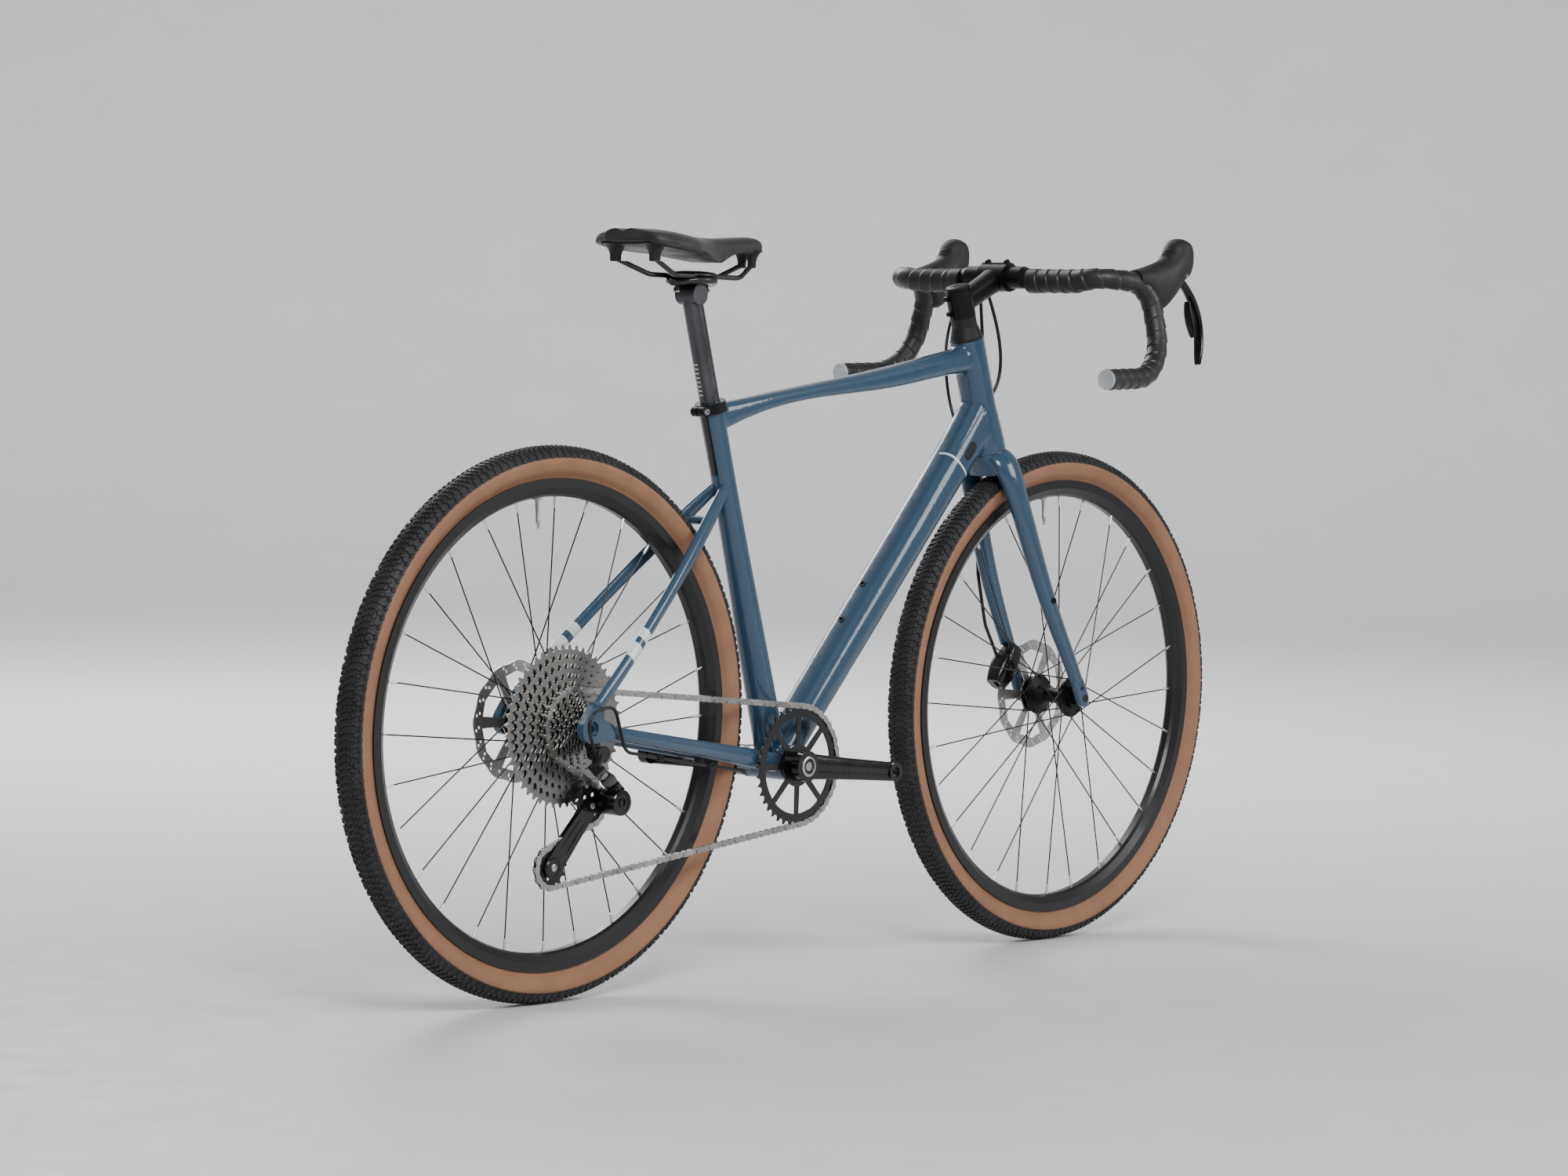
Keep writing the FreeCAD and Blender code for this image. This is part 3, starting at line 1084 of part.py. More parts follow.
rivet = 1.75
outer_link = [link_plate(outer_near, outer_far, 4.1, 3.1), link_plate(-outer_far, -outer_near, 4.1, 3.1)]
outer_link += [rod((x, -outer_far, 0), (x, outer_far, 0), rivet) for x in (0, pitch)]
outer_link = union(outer_link)
inner_link = [link_plate(inner_near, inner_far, 4.15, 3.1), link_plate(-inner_far, -inner_near, 4.15, 3.1)]
inner_link += [rod((x, -inner_near, 0), (x, inner_near, 0), size("roller_radius")) for x in (0, pitch)]
inner_link = union(inner_link).cut([rod((x, -9, 0), (x, 9, 0), rivet + 0.08) for x in (0, pitch)])
links = []
for i, at in enumerate(pins):
    ahead = pins[(i + 1) % len(pins)] - at
    turn = FreeCAD.Rotation(vec(0, 1, 0), -math.degrees(math.atan2(ahead.z, ahead.x)))
    one = (outer_link if i % 2 else inner_link).copy()
    one.Placement = FreeCAD.Placement(at + vec(0, line, 0), turn)
    links.append(one)
feature("chain", links)

# Rear derailleur: knuckle on the hanger, link, swinging body, cage and pulleys
plate_gap, plate_thick = 3.5, size("cage_plate")
outside = line - plate_gap - plate_thick
inside = line + plate_gap + plate_thick
cage_parts = [slab(capsule(flat_at(guide_at), flat_at(tension_at), 11, 15), outside, outside + plate_thick),
              slab(capsule(flat_at(swing_at), flat_at(guide_at), 14, 10.9), outside, outside + plate_thick),
              slab(capsule(flat_at(guide_at), flat_at(tension_at), 9, 13), inside - plate_thick, inside)]
for at in (guide_at, tension_at):
    cage_parts.append(rod(flat_at(at) + vec(0, outside, 0), flat_at(at) + vec(0, inside, 0), 2.5))
swing_end = outside - 20
cage_parts.append(rod(flat_at(swing_at) + vec(0, outside, 0), flat_at(swing_at) + vec(0, swing_end, 0), 6))
feature("derailleur_cage", union(cage_parts))
for label, at, phase in (("guide_pulley", guide_at, phases[2]), ("tension_pulley", tension_at, phases[3])):
    wheel = sprocket(pulley_teeth, size("ring_thickness"), 0, vec(0, 0, 0), phase, 5)
    wheel = drilled(wheel, vec(0, 0, 0), 0, 14, 3.2, 6, 0.2)
    barrel = rod((0, -plate_gap + 0.4, 0), (0, plate_gap - 0.4, 0), 6.5).cut(
        rod((0, -9, 0), (0, 9, 0), 2.5 + size("running_gap")))
    wheel = union([wheel, barrel])
    wheel = wheel.cut(rod((0, -9, 0), (0, 9, 0), 2.5 + size("running_gap")))
    wheel.translate(flat_at(at) + vec(0, line, 0))
    feature(label, wheel)

body_pivot = swing_at + vec(-10, -74, 23)
hang_pivot = hanger_at + vec(-3, -92, -22)
link_run = body_pivot - hang_pivot
link_long = link_run.Length
along_link = vec(link_run).normalize()
# The swing drops this much for each millimetre inward, so the guide pulley stays clear of the larger sprockets
slant = size("swing_slant")
move = vec(-(link_run.y - slant * link_run.z) / link_run.x, 1, -slant).normalize()
link_axis = along_link.cross(move).normalize()


def on_link(at, shape):
    done = shape.copy()
    turn = FreeCAD.Rotation(along_link, move, link_axis, "XYZ")
    done.Placement = FreeCAD.Placement(at, turn).multiply(done.Placement)
    return done


def flat_capsule(length, radius, low, high):
    face = capsule(vec(0, 0, 0), vec(length, 0, 0.0001), radius, radius - 0.0001)
    return slab(face, low, high).rotated(vec(0, 0, 0), vec(1, 0, 0), 90)


bar = flat_capsule(link_long, 8.5, -4.5, 4.5)
bar = bar.cut([rod((x, 0, -9), (x, 0, 9), 3 + size("running_gap")) for x in (0, link_long)])
feature("derailleur_link", on_link(hang_pivot, bar))


def fork_ears(toward):
    """Two ears, a web behind the link's end and the pivot pin, in the link's own axes."""
    parts = []
    for low in (4.9, -8.9):
        parts.append(rod((0, 0, low), (0, 0, low + 4), 8))
        parts.append(box((min(0, toward * 13.5), -7.4, low), (max(0, toward * 13.5), 7.4, low + 4)))
    parts.append(box((min(toward * 9.2, toward * 14), -7.8, -9.2), (max(toward * 9.2, toward * 14), 7.8, 9.2)))
    parts.append(rod((0, 0, -8.5), (0, 0, 8.5), 3))
    return parts


def joined(shapes):
    solid = shapes[0]
    for shape in shapes[1:]:
        solid = solid.fuse(shape)
    return solid


knuckle_hub = hanger_at + vec(0, -drop_out + 1, 0)
knuckle_parts = [on_link(hang_pivot, p) for p in fork_ears(-1)]
knuckle_parts.append(rod(knuckle_hub, knuckle_hub - vec(0, 15, 0), 11))
knuckle_parts.append(rod(knuckle_hub - vec(0, 8, 0), hang_pivot - along_link * 16.5, 6.5))
link_room = rod((0, 0, -4.9), (0, 0, 4.9), 9.1).cut(rod((0, 0, -9), (0, 0, 9), 3))
feature("derailleur_knuckle", outermost(joined(knuckle_parts).cut(on_link(hang_pivot, link_room))))
body_parts = [on_link(body_pivot, p) for p in fork_ears(1)]
barrel_near = flat_at(swing_at) + vec(0, outside - 1, 0)
barrel_far = flat_at(swing_at) + vec(0, outside - 30, 0)
body_parts.append(rod(barrel_near, barrel_far, 17))
body_parts.append(rod(flat_at(swing_at) + vec(0, outside - 20, 0), body_pivot + along_link * 16.5, 7))
body_solid = joined(body_parts)
body_solid = body_solid.cut(rod(barrel_near + vec(0, 5, 0), flat_at(swing_at) + vec(0, swing_end - 0.4, 0),
                                6 + size("running_gap")))
feature("derailleur_body", outermost(body_solid.cut(on_link(body_pivot, link_room))))

# Hoses and shift housing
hose, housing = size("hose_radius"), size("housing_radius")
frame_walls = [part_of("down_tube"), head_fill]
front_route = [bar_at + vec(12, 28, -18), bar_at + vec(66, 24, -118), bar_at + vec(8, 32, -206),
               bar_at + vec(-40, 14, -232)]
left_route = [bar_at + vec(-8, 50, -17), bar_at + vec(-70, 38, -64), bar_at + vec(-64, 33, -190),
              bar_at + vec(-62, 8, -226)]
front_loop = pipe(rounded_path(front_route, [50, 30]), hose)
left_loop = pipe(rounded_path(left_route, [40, 24]), housing)
feature("bar_hoses", [outermost(front_loop.cut(frame_walls)), outermost(left_loop.cut(frame_walls))])
front_inlet = front_axle_at + front_out * (size("rotor_radius") + 6) + vec(0, 44, 0)
front_route = [bar_at + vec(14, 42, -17), in_steer(96, 60, 480), in_steer(34, 61, 330), in_steer(6, 62.5, 200),
               in_steer(-8, 54, 128), front_inlet]
front_hose = pipe(rounded_path(front_route, [60, 60, 90, 40]), hose)
front_hose = front_hose.cut([front_caliper[0], part_of("fork_leg_left"), crown_solid])
feature("front_brake_hose", outermost(front_hose))
rear_inlet = rear_axle_at + rear_out * (size("rotor_radius") + 6) + vec(0, 62, 0)
rear_route = [bb_at + vec(-232, 54, 44), bb_at + vec(-300, 66, 84), rear_inlet]
rear_hose = pipe(rounded_path(rear_route, [40]), hose)
rear_hose = outermost(rear_hose.cut([part_of("chainstay_left"), rear_caliper[0]]))
loop_side = -drop_out - 12
shift_route = [bb_at + vec(-120, -47, -1), bb_at + vec(-300, -67, 26), rear_axle_at + vec(62, -80, -32),
               rear_axle_at + vec(26, loop_side, 30), rear_axle_at + vec(-30, loop_side, 22),
               hang_pivot + vec(-8, 0, 22), hang_pivot + vec(-2, 0, 3)]
shift_run = pipe(rounded_path(shift_route, [120, 30, 22, 22, 14]), housing)
shift_run = outermost(shift_run.cut([part_of("derailleur_knuckle"), part_of("chainstay_right")]))
feature("rear_cables", [shift_run, rear_hose])

doc.recompute()

# Writing out
os.makedirs("parts", exist_ok=True)
for item in nodes:
    if "Invalid" in item.State or "Error" in item.State:
        raise RuntimeError(item.Label + " failed")
    if item.Shape.isNull() or not item.Shape.isValid():
        raise RuntimeError(item.Label + " has a bad shape")
    item.Shape.exportStep("parts/%s.step" % item.Label)
    print(item.Label, len(item.Shape.Solids), round(item.Shape.Volume / 1000, 1))
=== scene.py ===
import json
import math

import bpy
import numpy as np
from bpy.props import FloatProperty, FloatVectorProperty, IntProperty, PointerProperty
from mathutils import Matrix, Vector
from mathutils.bvhtree import BVHTree


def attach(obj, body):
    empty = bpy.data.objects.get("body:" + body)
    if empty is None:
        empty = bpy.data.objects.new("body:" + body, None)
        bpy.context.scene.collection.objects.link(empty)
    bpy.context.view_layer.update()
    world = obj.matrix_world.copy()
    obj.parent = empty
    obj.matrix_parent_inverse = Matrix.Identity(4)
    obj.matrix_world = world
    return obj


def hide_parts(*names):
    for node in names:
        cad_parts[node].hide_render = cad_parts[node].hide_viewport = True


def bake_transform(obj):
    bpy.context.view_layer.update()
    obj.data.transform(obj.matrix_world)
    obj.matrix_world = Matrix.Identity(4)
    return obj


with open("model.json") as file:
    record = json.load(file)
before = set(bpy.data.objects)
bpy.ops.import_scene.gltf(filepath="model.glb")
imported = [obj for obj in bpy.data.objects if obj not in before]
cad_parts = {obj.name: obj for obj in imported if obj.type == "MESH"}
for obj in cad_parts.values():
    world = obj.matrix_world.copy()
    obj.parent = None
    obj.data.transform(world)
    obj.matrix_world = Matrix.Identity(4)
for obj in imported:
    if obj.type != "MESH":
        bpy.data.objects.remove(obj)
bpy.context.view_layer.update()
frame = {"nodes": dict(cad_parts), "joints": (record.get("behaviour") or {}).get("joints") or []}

bl_info = {
    "name": "Gravel bicycle looks",
    "version": (1, 0, 0),
    "blender": (4, 5, 0),
    "location": "View3D > Sidebar > Bicycle",
    "description": "Finishes and soft pieces of a gravel bicycle on its packed frame",
    "category": "Object",
}

# Places on the bicycle, in metres: joints give the turning points, the rest is measured from them
JOINTS = {joint["name"]: joint for joint in frame["joints"]}


def place(name):
    """The joint's point in the row frame."""
    return np.array(JOINTS[name]["pos_m"], float)


def axis_of(name):
    """The joint's axis in the row frame."""
    return np.array(JOINTS[name]["axis"], float)


Y_AXIS = np.array([0.0, 1.0, 0.0])
Z_AXIS = np.array([0.0, 0.0, 1.0])
FRONT = place("front_wheel_spin")
REAR = place("rear_wheel_spin")
WHEELS = (("front", FRONT), ("rear", REAR))
SIDES = (("right", -1), ("left", 1))
CRANK = place("crank_spin")
STEER_FOOT = place("steering")
STEER_UP = axis_of("steering")
STEER_AHEAD = np.cross(Y_AXIS, STEER_UP)
SEAT_UP = axis_of("seatpost_height")
SEAT_AHEAD = np.cross(Y_AXIS, SEAT_UP)
SEAT_TOP = CRANK + SEAT_UP * 0.511
POST_HEAD = place("saddle_tilt")
LEVER = place("brake_lever_right_pull")
BAR = LEVER + np.array([-0.152, 0.206, -0.010])
TOP_HEAD = STEER_FOOT + STEER_UP * 0.533
DOWN_HEAD = STEER_FOOT + STEER_UP * 0.451
DOWN_RUN = DOWN_HEAD - CRANK

# Tones that several pieces wear
JET = (0.004, 0.004, 0.0045, 1)
SOOT = (0.006, 0.006, 0.0065, 1)


def length_setting(label, says, value):
    return FloatProperty(name=label, description=says, default=value, unit="LENGTH")


def tone_setting(label, says, *tone):
    return FloatVectorProperty(name=label, description=says, subtype="COLOR", size=4, default=tone + (1,))


class BicycleSizes(bpy.types.PropertyGroup):
    knob_pitch: length_setting("Knob pitch", "Spacing of the tread knobs round the tyre", 0.0088)
    knob_height: length_setting("Knob height", "Height of the tread knobs over the casing", 0.0023)
    tape_pitch: length_setting("Tape pitch", "Advance of the bar tape in one turn", 0.0205)
    tape_step: length_setting("Tape step", "Height of the edge where the tape overlaps", 0.0016)
    knob_sides: IntProperty(name="Knob sides", description="Sides of one tread knob", default=8, min=4,
                            max=12)


class BicycleColours(bpy.types.PropertyGroup):
    paint: tone_setting("Paint", "Frame and fork paint", 0.024, 0.056, 0.094)
    pale: tone_setting("Pale bands", "Bands on the stays and the down tube", 0.62, 0.66, 0.63)
    tan: tone_setting("Sidewall", "Tyre sidewall", 0.26, 0.130, 0.073)
    tread: tone_setting("Tread", "Tyre tread rubber", 0.018, 0.018, 0.019)
    black: tone_setting("Black alloy", "Anodised parts", 0.0055, 0.0055, 0.006)
    steel: tone_setting("Steel", "Sprockets and brake discs", 0.46, 0.45, 0.43)
    plug: tone_setting("Bar plugs", "End plugs of the bar", 0.42, 0.44, 0.45)
    floor: tone_setting("Floor", "Studio floor", 0.62, 0.62, 0.63)


class BicycleSettings(bpy.types.PropertyGroup):
    sizes: PointerProperty(type=BicycleSizes)
    colours: PointerProperty(type=BicycleColours)


def sizes():
    return bpy.context.scene.bicycle.sizes


def colour(name):
    return tuple(getattr(bpy.context.scene.bicycle.colours, name))


# Directions and curves
def unit(v):
    v = np.asarray(v, float)
    return v / np.linalg.norm(v, axis=-1, keepdims=True)


def turns(count):
    """Angles of count even steps round a circle."""
    return np.linspace(0, 2 * math.pi, count, endpoint=False)


def wheel_way(turn):
    """Unit vectors out from a wheel's axis at angles turn."""
    return np.stack([np.cos(turn), np.zeros(np.shape(turn)), np.sin(turn)], -1)


def rounded(value, power):
    """A cosine or sine raised to a power with its sign kept, which is one coordinate of a superellipse."""
    return np.sign(value) * np.abs(value) ** power


def ramp(value, low, high):
    """Smooth step from 0 at low to 1 at high."""
    t = np.clip((np.asarray(value, float) - low) / (high - low), 0, 1)
    return t * t * (3 - 2 * t)


def through(knots, count):
    """A curve through knots by cubic pieces whose slopes are half the neighbours' difference."""
    knots = np.asarray(knots, float)
    slope = np.gradient(knots, axis=0)
    t = np.linspace(0, len(knots) - 1, count)
    i = np.minimum(t.astype(int), len(knots) - 2)
    f = (t - i)[:, None]
    h0, h1 = 2 * f**3 - 3 * f**2 + 1, f**3 - 2 * f**2 + f
    return h0 * knots[i] + h1 * slope[i] + (1 - h0) * knots[i + 1] + (f**3 - f**2) * slope[i + 1]


def even(path, count):
    """The same path with its points evenly spaced, and its length."""
    step = np.linalg.norm(np.diff(path, axis=0), axis=1)
    run = np.concatenate([[0], np.cumsum(step)])
    at = np.linspace(0, run[-1], count)
    return np.stack([np.interp(at, run, path[:, k]) for k in range(3)], 1), run[-1]


def bar_line(side):
    """Centreline of one half of the bar: straights joined by arcs tangent to both."""
    wide, reach, drop, flare = 0.2, 0.092, 0.143, 0.044
    corners = BAR + np.array([1, side, 1]) * [
        (0, 0.062, 0), (0, wide - 0.002, 0), (reach, wide + 0.002, -0.005),
        (reach, wide + flare * 0.8, -drop * 0.96), (-reach * 0.59, wide + flare, -drop)]
    line = [corners[0][None]]
    for i, radius in ((1, 0.042), (2, 0.042), (3, 0.076)):
        back, ahead = unit(corners[i - 1] - corners[i]), unit(corners[i + 1] - corners[i])
        half = math.acos(float(back @ ahead)) / 2
        middle = unit(back + ahead)
        centre = corners[i] + middle * radius / math.sin(half)
        turn = np.linspace(half - math.pi / 2, math.pi / 2 - half, 24)
        flat = unit(ahead - middle * (ahead @ middle))
        line.append(centre + radius * (np.sin(turn)[:, None] * flat - np.cos(turn)[:, None] * middle))
    line.append(corners[4][None])
    return np.concatenate(line)


def hose_line(points):
    """Points along the smooth spline that a hose's route controls."""
    data = bpy.data.curves.new("hose_route", "CURVE")
    data.dimensions = "3D"
    spline = data.splines.new("NURBS")
    spline.points.add(len(points) - 1)
    spline.points.foreach_set("co", np.concatenate([points, np.ones((len(points), 1))], 1).ravel())
    spline.order_u = 3
    spline.use_endpoint_u = True
    spline.resolution_u = 24
    holder = bpy.data.objects.new("hose_route", data)
    mesh = bpy.data.meshes.new_from_object(holder)
    line = np.zeros(len(mesh.vertices) * 3)
    mesh.vertices.foreach_get("co", line)
    bpy.data.objects.remove(holder)
    bpy.data.meshes.remove(mesh)
    bpy.data.curves.remove(data)
    return line.reshape(-1, 3)


# Meshes
def grid_faces(rows, columns, loop=False):
    """Corner numbers of the quads of a rows x columns grid that closes across its columns, and with loop
    its rows too."""
    r = np.arange(rows if loop else rows - 1)[:, None]
    c = np.arange(columns)[None, :]
    below, after = (r + 1) % rows, (c + 1) % columns
    corners = [r * columns + c, r * columns + after, below * columns + after, below * columns + c]
    return np.stack(corners, -1).reshape(-1, 4)


def piece(name, points, faces, sharp=35.0):
    """One mesh object at the origin from points and faces, smooth but for edges steeper than sharp."""
    mesh = bpy.data.meshes.new(name)
    mesh.from_pydata(np.asarray(points, float).tolist(), [], [list(map(int, face)) for face in faces])
    mesh.polygons.foreach_set("use_smooth", np.ones(len(mesh.polygons), bool))
    mesh.set_sharp_from_angle(angle=math.radians(sharp))
    mesh.update()
    thing = bpy.data.objects.new(name, mesh)
    bpy.context.scene.collection.objects.link(thing)
    return thing


def swelling(points, quads):
    """Six times the volume inside quads, by the sum of a . (b x c) over both halves of each."""
    a, b, c, d = (points[quads[:, i]] for i in range(4))
    return float((a * np.cross(b, c)).sum() + (a * np.cross(c, d)).sum())


def skinned(rings, first=0, loop=False):
    """Points and outward faces over rings[i, j], numbered from first, with a flat face on each end unless
    the rings close on themselves."""
    rows, columns = rings.shape[:2]
    points = rings.reshape(-1, 3)
    quads = grid_faces(rows, columns, loop)
    faces = quads.tolist()
    if not loop:
        faces.append(list(range(columns))[::-1])
        faces.append(list(range((rows - 1) * columns, rows * columns)))
    if swelling(points - points.mean(0), quads) < 0:
        faces = [face[::-1] for face in faces]
    return points, [[corner + first for corner in face] for face in faces]


def gathered(name, groups, sharp=35.0):
    """One mesh from several ring stacks."""
    points, faces, first = [], [], 0
    for rings in groups:
        more, sides = skinned(rings, first)
        points.append(more)
        faces += sides
        first += len(more)
    return piece(name, np.concatenate(points), faces, sharp)


def mark(thing, name, values):
    """Keep a value at each point of a mesh for its finish to read."""
    thing.data.attributes.new(name, "FLOAT", "POINT").data.foreach_set("value", np.ravel(values))


def turned(profile, at, axis, count=32):
    """Rings of a profile of (radius, height) pairs turned about an axis:
    p = at + h axis + r (u cos a + v sin a)."""
    profile = np.asarray(profile, float)
    axis = unit(axis)
    side = unit(np.cross(axis, Y_AXIS if abs(axis[1]) < 0.9 else Z_AXIS))
    other = np.cross(axis, side)
    angle = turns(count)[:, None]
    out = np.cos(angle) * side + np.sin(angle) * other
    return np.asarray(at) + profile[:, 1, None, None] * axis + profile[:, 0, None, None] * out[None]


def socket_head(at, axis, radius, height, socket=0.5):
    """Rings of a socket head bolt: a chamfered drum with a sunk middle."""
    inner = radius * socket
    profile = [(radius * 0.98, -height * 0.4), (radius, 0), (radius, height * 0.8), (radius * 0.88, height),
               (inner, height), (inner * 0.96, height * 0.35), (inner * 0.2, height * 0.3)]
    return turned(profile, at, axis, 18)


def tube_rings(path, radius, count=14):
    """Rings of a round section carried along a path without twist: p = c(s) + r(s, a) (u cos a + v sin a)."""
    along = unit(np.gradient(path, axis=0))
    side = np.empty_like(along)
    side[0] = unit(np.cross(along[0], Y_AXIS if abs(along[0][1]) < 0.9 else Z_AXIS))
    for i in range(1, len(path)):
        side[i] = unit(side[i - 1] - along[i] * (side[i - 1] @ along[i]))
    angle = turns(count)[:, None]
    out = np.cos(angle) * side[:, None] + np.sin(angle) * np.cross(along, side)[:, None]
    radius = np.asarray(radius, float)
    if radius.ndim == 1:
        radius = radius[:, None]
    return path[:, None] + np.broadcast_to(radius, (len(path), count))[..., None] * out


def surface(mesh):
    """A mesh's surface, ready for nearest points and rays."""
    return BVHTree.FromPolygons([v.co[:] for v in mesh.vertices], [f.vertices[:] for f in mesh.polygons])


def skin(node):
    """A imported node's surface."""
    return surface(frame["nodes"][node].data)


def seated(node, at, direction):
    """Where a ray through at, sent from 0.2 m before it along direction, first meets a node."""
    direction = Vector(unit(direction))
    hit = skin(node).ray_cast(Vector(at) - direction * 0.2, direction)[0]
    if hit is None:
        raise RuntimeError("nothing of %s lies there" % node)
    return np.array(hit)


# Shader nodes
F, V = "NodeSocketFloat", "NodeSocketVector"


def feed(tree, socket, value):
    """Link another node's output to a socket, or set the socket's plain value."""
    if isinstance(value, bpy.types.NodeSocket):
        tree.links.new(value, socket)
    else:
        socket.default_value = value


def put(tree, kind, feeds=None, **settings):
    """A new shader node with its settings made and its inputs, by name or number, fed."""
    made = tree.nodes.new("ShaderNode" + kind)
    for label, value in settings.items():
        setattr(made, label, value)
    for label, value in (feeds or {}).items():
        feed(tree, made.inputs[label], value)
    return made


def math_node(tree, kind, a, b=0.0):
    return put(tree, "Math", {0: a, 1: b}, operation=kind).outputs[0]


def edge_node(tree, value, at, soft, rising):
    """Smooth step of value across at, from 0 to 1 or from 1 to 0."""
    feeds = {"Value": value, "From Min": math_node(tree, "SUBTRACT", at, soft),
             "From Max": math_node(tree, "ADD", at, soft), "To Min": 1 - rising, "To Max": int(rising)}
    return put(tree, "MapRange", feeds, interpolation_type="SMOOTHSTEP").outputs[0]


def group(name, inputs, outputs):
    """A new shader node group with named sockets: its tree, what comes in and what goes out."""
    made = bpy.data.node_groups.new(name, "ShaderNodeTree")
    for label, kind, value in inputs:
        made.interface.new_socket(name=label, in_out="INPUT", socket_type=kind).default_value = value
    for label in outputs:
        made.interface.new_socket(name=label, in_out="OUTPUT", socket_type=F)
    return made, made.nodes.new("NodeGroupInput").outputs, made.nodes.new("NodeGroupOutput").inputs


def noise_group(name, inputs, detail, place_input, **settings):
    """A group that gives a noise spread between its Low and High inputs, and the noise itself as a height."""
    tree, source, sink = group(name, inputs, ["Value", "Height"])
    feeds = {"Detail": detail, place_input: source[inputs[0][0]], "Scale": source["Scale"]}
    noise = put(tree, "TexNoise", feeds, **settings).outputs[0]
    limits = {"From Min": 0.3, "From Max": 0.7, "To Min": source["Low"], "To Max": source["High"]}
    feed(tree, sink["Value"], put(tree, "MapRange", {"Value": noise, **limits}).outputs[0])
    feed(tree, sink["Height"], noise)


def mask_group(name, point, way, low, high, label):
    """A group that measures from a point, along or square to a way: it gives the measure, and a mask that is
    1 from its low to its high input."""
    inputs = [("Vector", V, (0, 0, 0)), (point, V, (0, 0, 0)), way, (low, F, 0), (high, F, 1),
              ("Soft", F, 0.0003)]
    tree, source, sink = group(name, inputs, ["Mask", label])
    gap = put(tree, "VectorMath", {0: source["Vector"], 1: source[point]}, operation="SUBTRACT").outputs[0]
    feeds = {0: gap, 1: source[way[0]]}
    if label == "Along":
        value = put(tree, "VectorMath", feeds, operation="DOT_PRODUCT").outputs["Value"]
    else:
        across = put(tree, "VectorMath", feeds, operation="CROSS_PRODUCT").outputs[0]
        value = put(tree, "VectorMath", {0: across}, operation="LENGTH").outputs["Value"]
    rise = edge_node(tree, value, source[low], source["Soft"], True)
    fall = edge_node(tree, value, source[high], source["Soft"], False)
    feed(tree, sink["Mask"], math_node(tree, "MULTIPLY", rise, fall))
    feed(tree, sink[label], value)


def make_groups():
    """Grain gives a noisy value between two limits; lathe gives fine circles round an axis; band marks a
    slice across a direction; ring marks a distance from an axis and gives that distance."""
    noise_group("grain", [("Vector", V, (0, 0, 0)), ("Scale", F, 50), ("Low", F, 0), ("High", F, 1)], 3,
                "Vector")
    noise_group("lathe", [("Radius", F, 0), ("Scale", F, 900), ("Low", F, 0.2), ("High", F, 0.4)], 2, "W",
                noise_dimensions="1D")
    mask_group("band", "Point", ("Direction", V, (0, 0, 1)), "From", "To", "Along")
    mask_group("ring", "Centre", ("Axis", V, (0, 1, 0)), "Inner", "Outer", "Radius")


def shade(tone, share):
    """The tone made lighter or darker by a share of itself."""
    return tuple(min(1, c * share) for c in tone[:3]) + (1,)


class Finish:
    """A material under making: Object coordinates, a Principled shader and the groups placed in it."""

    def __init__(self, name, metallic=0.0, coat=0.0, coat_roughness=0.1, specular=0.5, sheen=0.0):
        self.material = bpy.data.materials.new(name)
        self.material.use_nodes = True
        self.tree = self.material.node_tree
        self.shader = self.tree.nodes["Principled BSDF"]
        for socket, value in (("Metallic", metallic), ("Coat Weight", coat), ("Sheen Weight", sheen),
                              ("Coat Roughness", coat_roughness), ("Specular IOR Level", specular)):
            self.set(socket, value)
        self.coordinates = put(self.tree, "TexCoord").outputs["Object"]
        self.bump_normal = None

    def set(self, socket, value):
        feed(self.tree, self.shader.inputs[socket], value)

    def use(self, name, **values):
        """Place a shader group and feed its inputs by name."""
        made = put(self.tree, "Group", node_tree=bpy.data.node_groups[name])
        if "Vector" in made.inputs:
            values["Vector"] = self.coordinates
        for label, value in values.items():
            feed(self.tree, made.inputs[label], value)
        return made.outputs

    def grain(self, scale, low, high):
        return self.use("grain", Scale=scale, Low=low, High=high)["Value"]

    def kept(self, name):
        """A value that the mesh keeps at its points."""
        return put(self.tree, "Attribute", attribute_name=name).outputs["Fac"]

    def mix(self, mask, first, second):
        """The colour going from first to second by the mask."""
        return put(self.tree, "Mix", {"Factor": mask, 6: first, 7: second}, data_type="RGBA").outputs[2]

    def blend_value(self, mask, first, second):
        return put(self.tree, "Mix", {"Factor": mask, 2: first, 3: second}).outputs[0]

    def within(self, slices):
        """Mask of the surface that lies in all of the slices, each (point, direction, from, to)."""
        mask = None
        for point, direction, low, high in slices:
            part = self.use("band", Point=tuple(point), Direction=tuple(direction), From=low, To=high)["Mask"]
            mask = part if mask is None else math_node(self.tree, "MULTIPLY", mask, part)
        return mask

    def bump(self, height, strength, distance):
        """Raise the surface by a height, on top of what was raised before."""
        feeds = {"Strength": strength, "Distance": distance, "Height": height}
        if self.bump_normal is not None:
            feeds["Normal"] = self.bump_normal
        self.bump_normal = put(self.tree, "Bump", feeds).outputs[0]
        self.set("Normal", self.bump_normal)

    def pebbled(self, scale, strength, distance):
        self.bump(self.use("grain", Scale=scale)["Height"], strength, distance)

    def cells(self, scale, strength):
        """Small cells in the bump, half a millimetre deep at strength 1."""
        cells = put(self.tree, "TexVoronoi", {"Scale": scale, "Vector": self.coordinates})
        self.bump(cells.outputs["Distance"], strength, 0.0005)

    def mottled(self, tone, amount, scale):
        """The tone going lighter and darker by amount in soft patches."""
        return self.mix(self.grain(scale, 0.0, 1.0), shade(tone, 1 - amount), shade(tone, 1 + amount))

    def done(self, base, roughness):
        """The material with its colour and roughness set."""
        self.set("Base Color", base)
        self.set("Roughness", roughness)
        return self.material


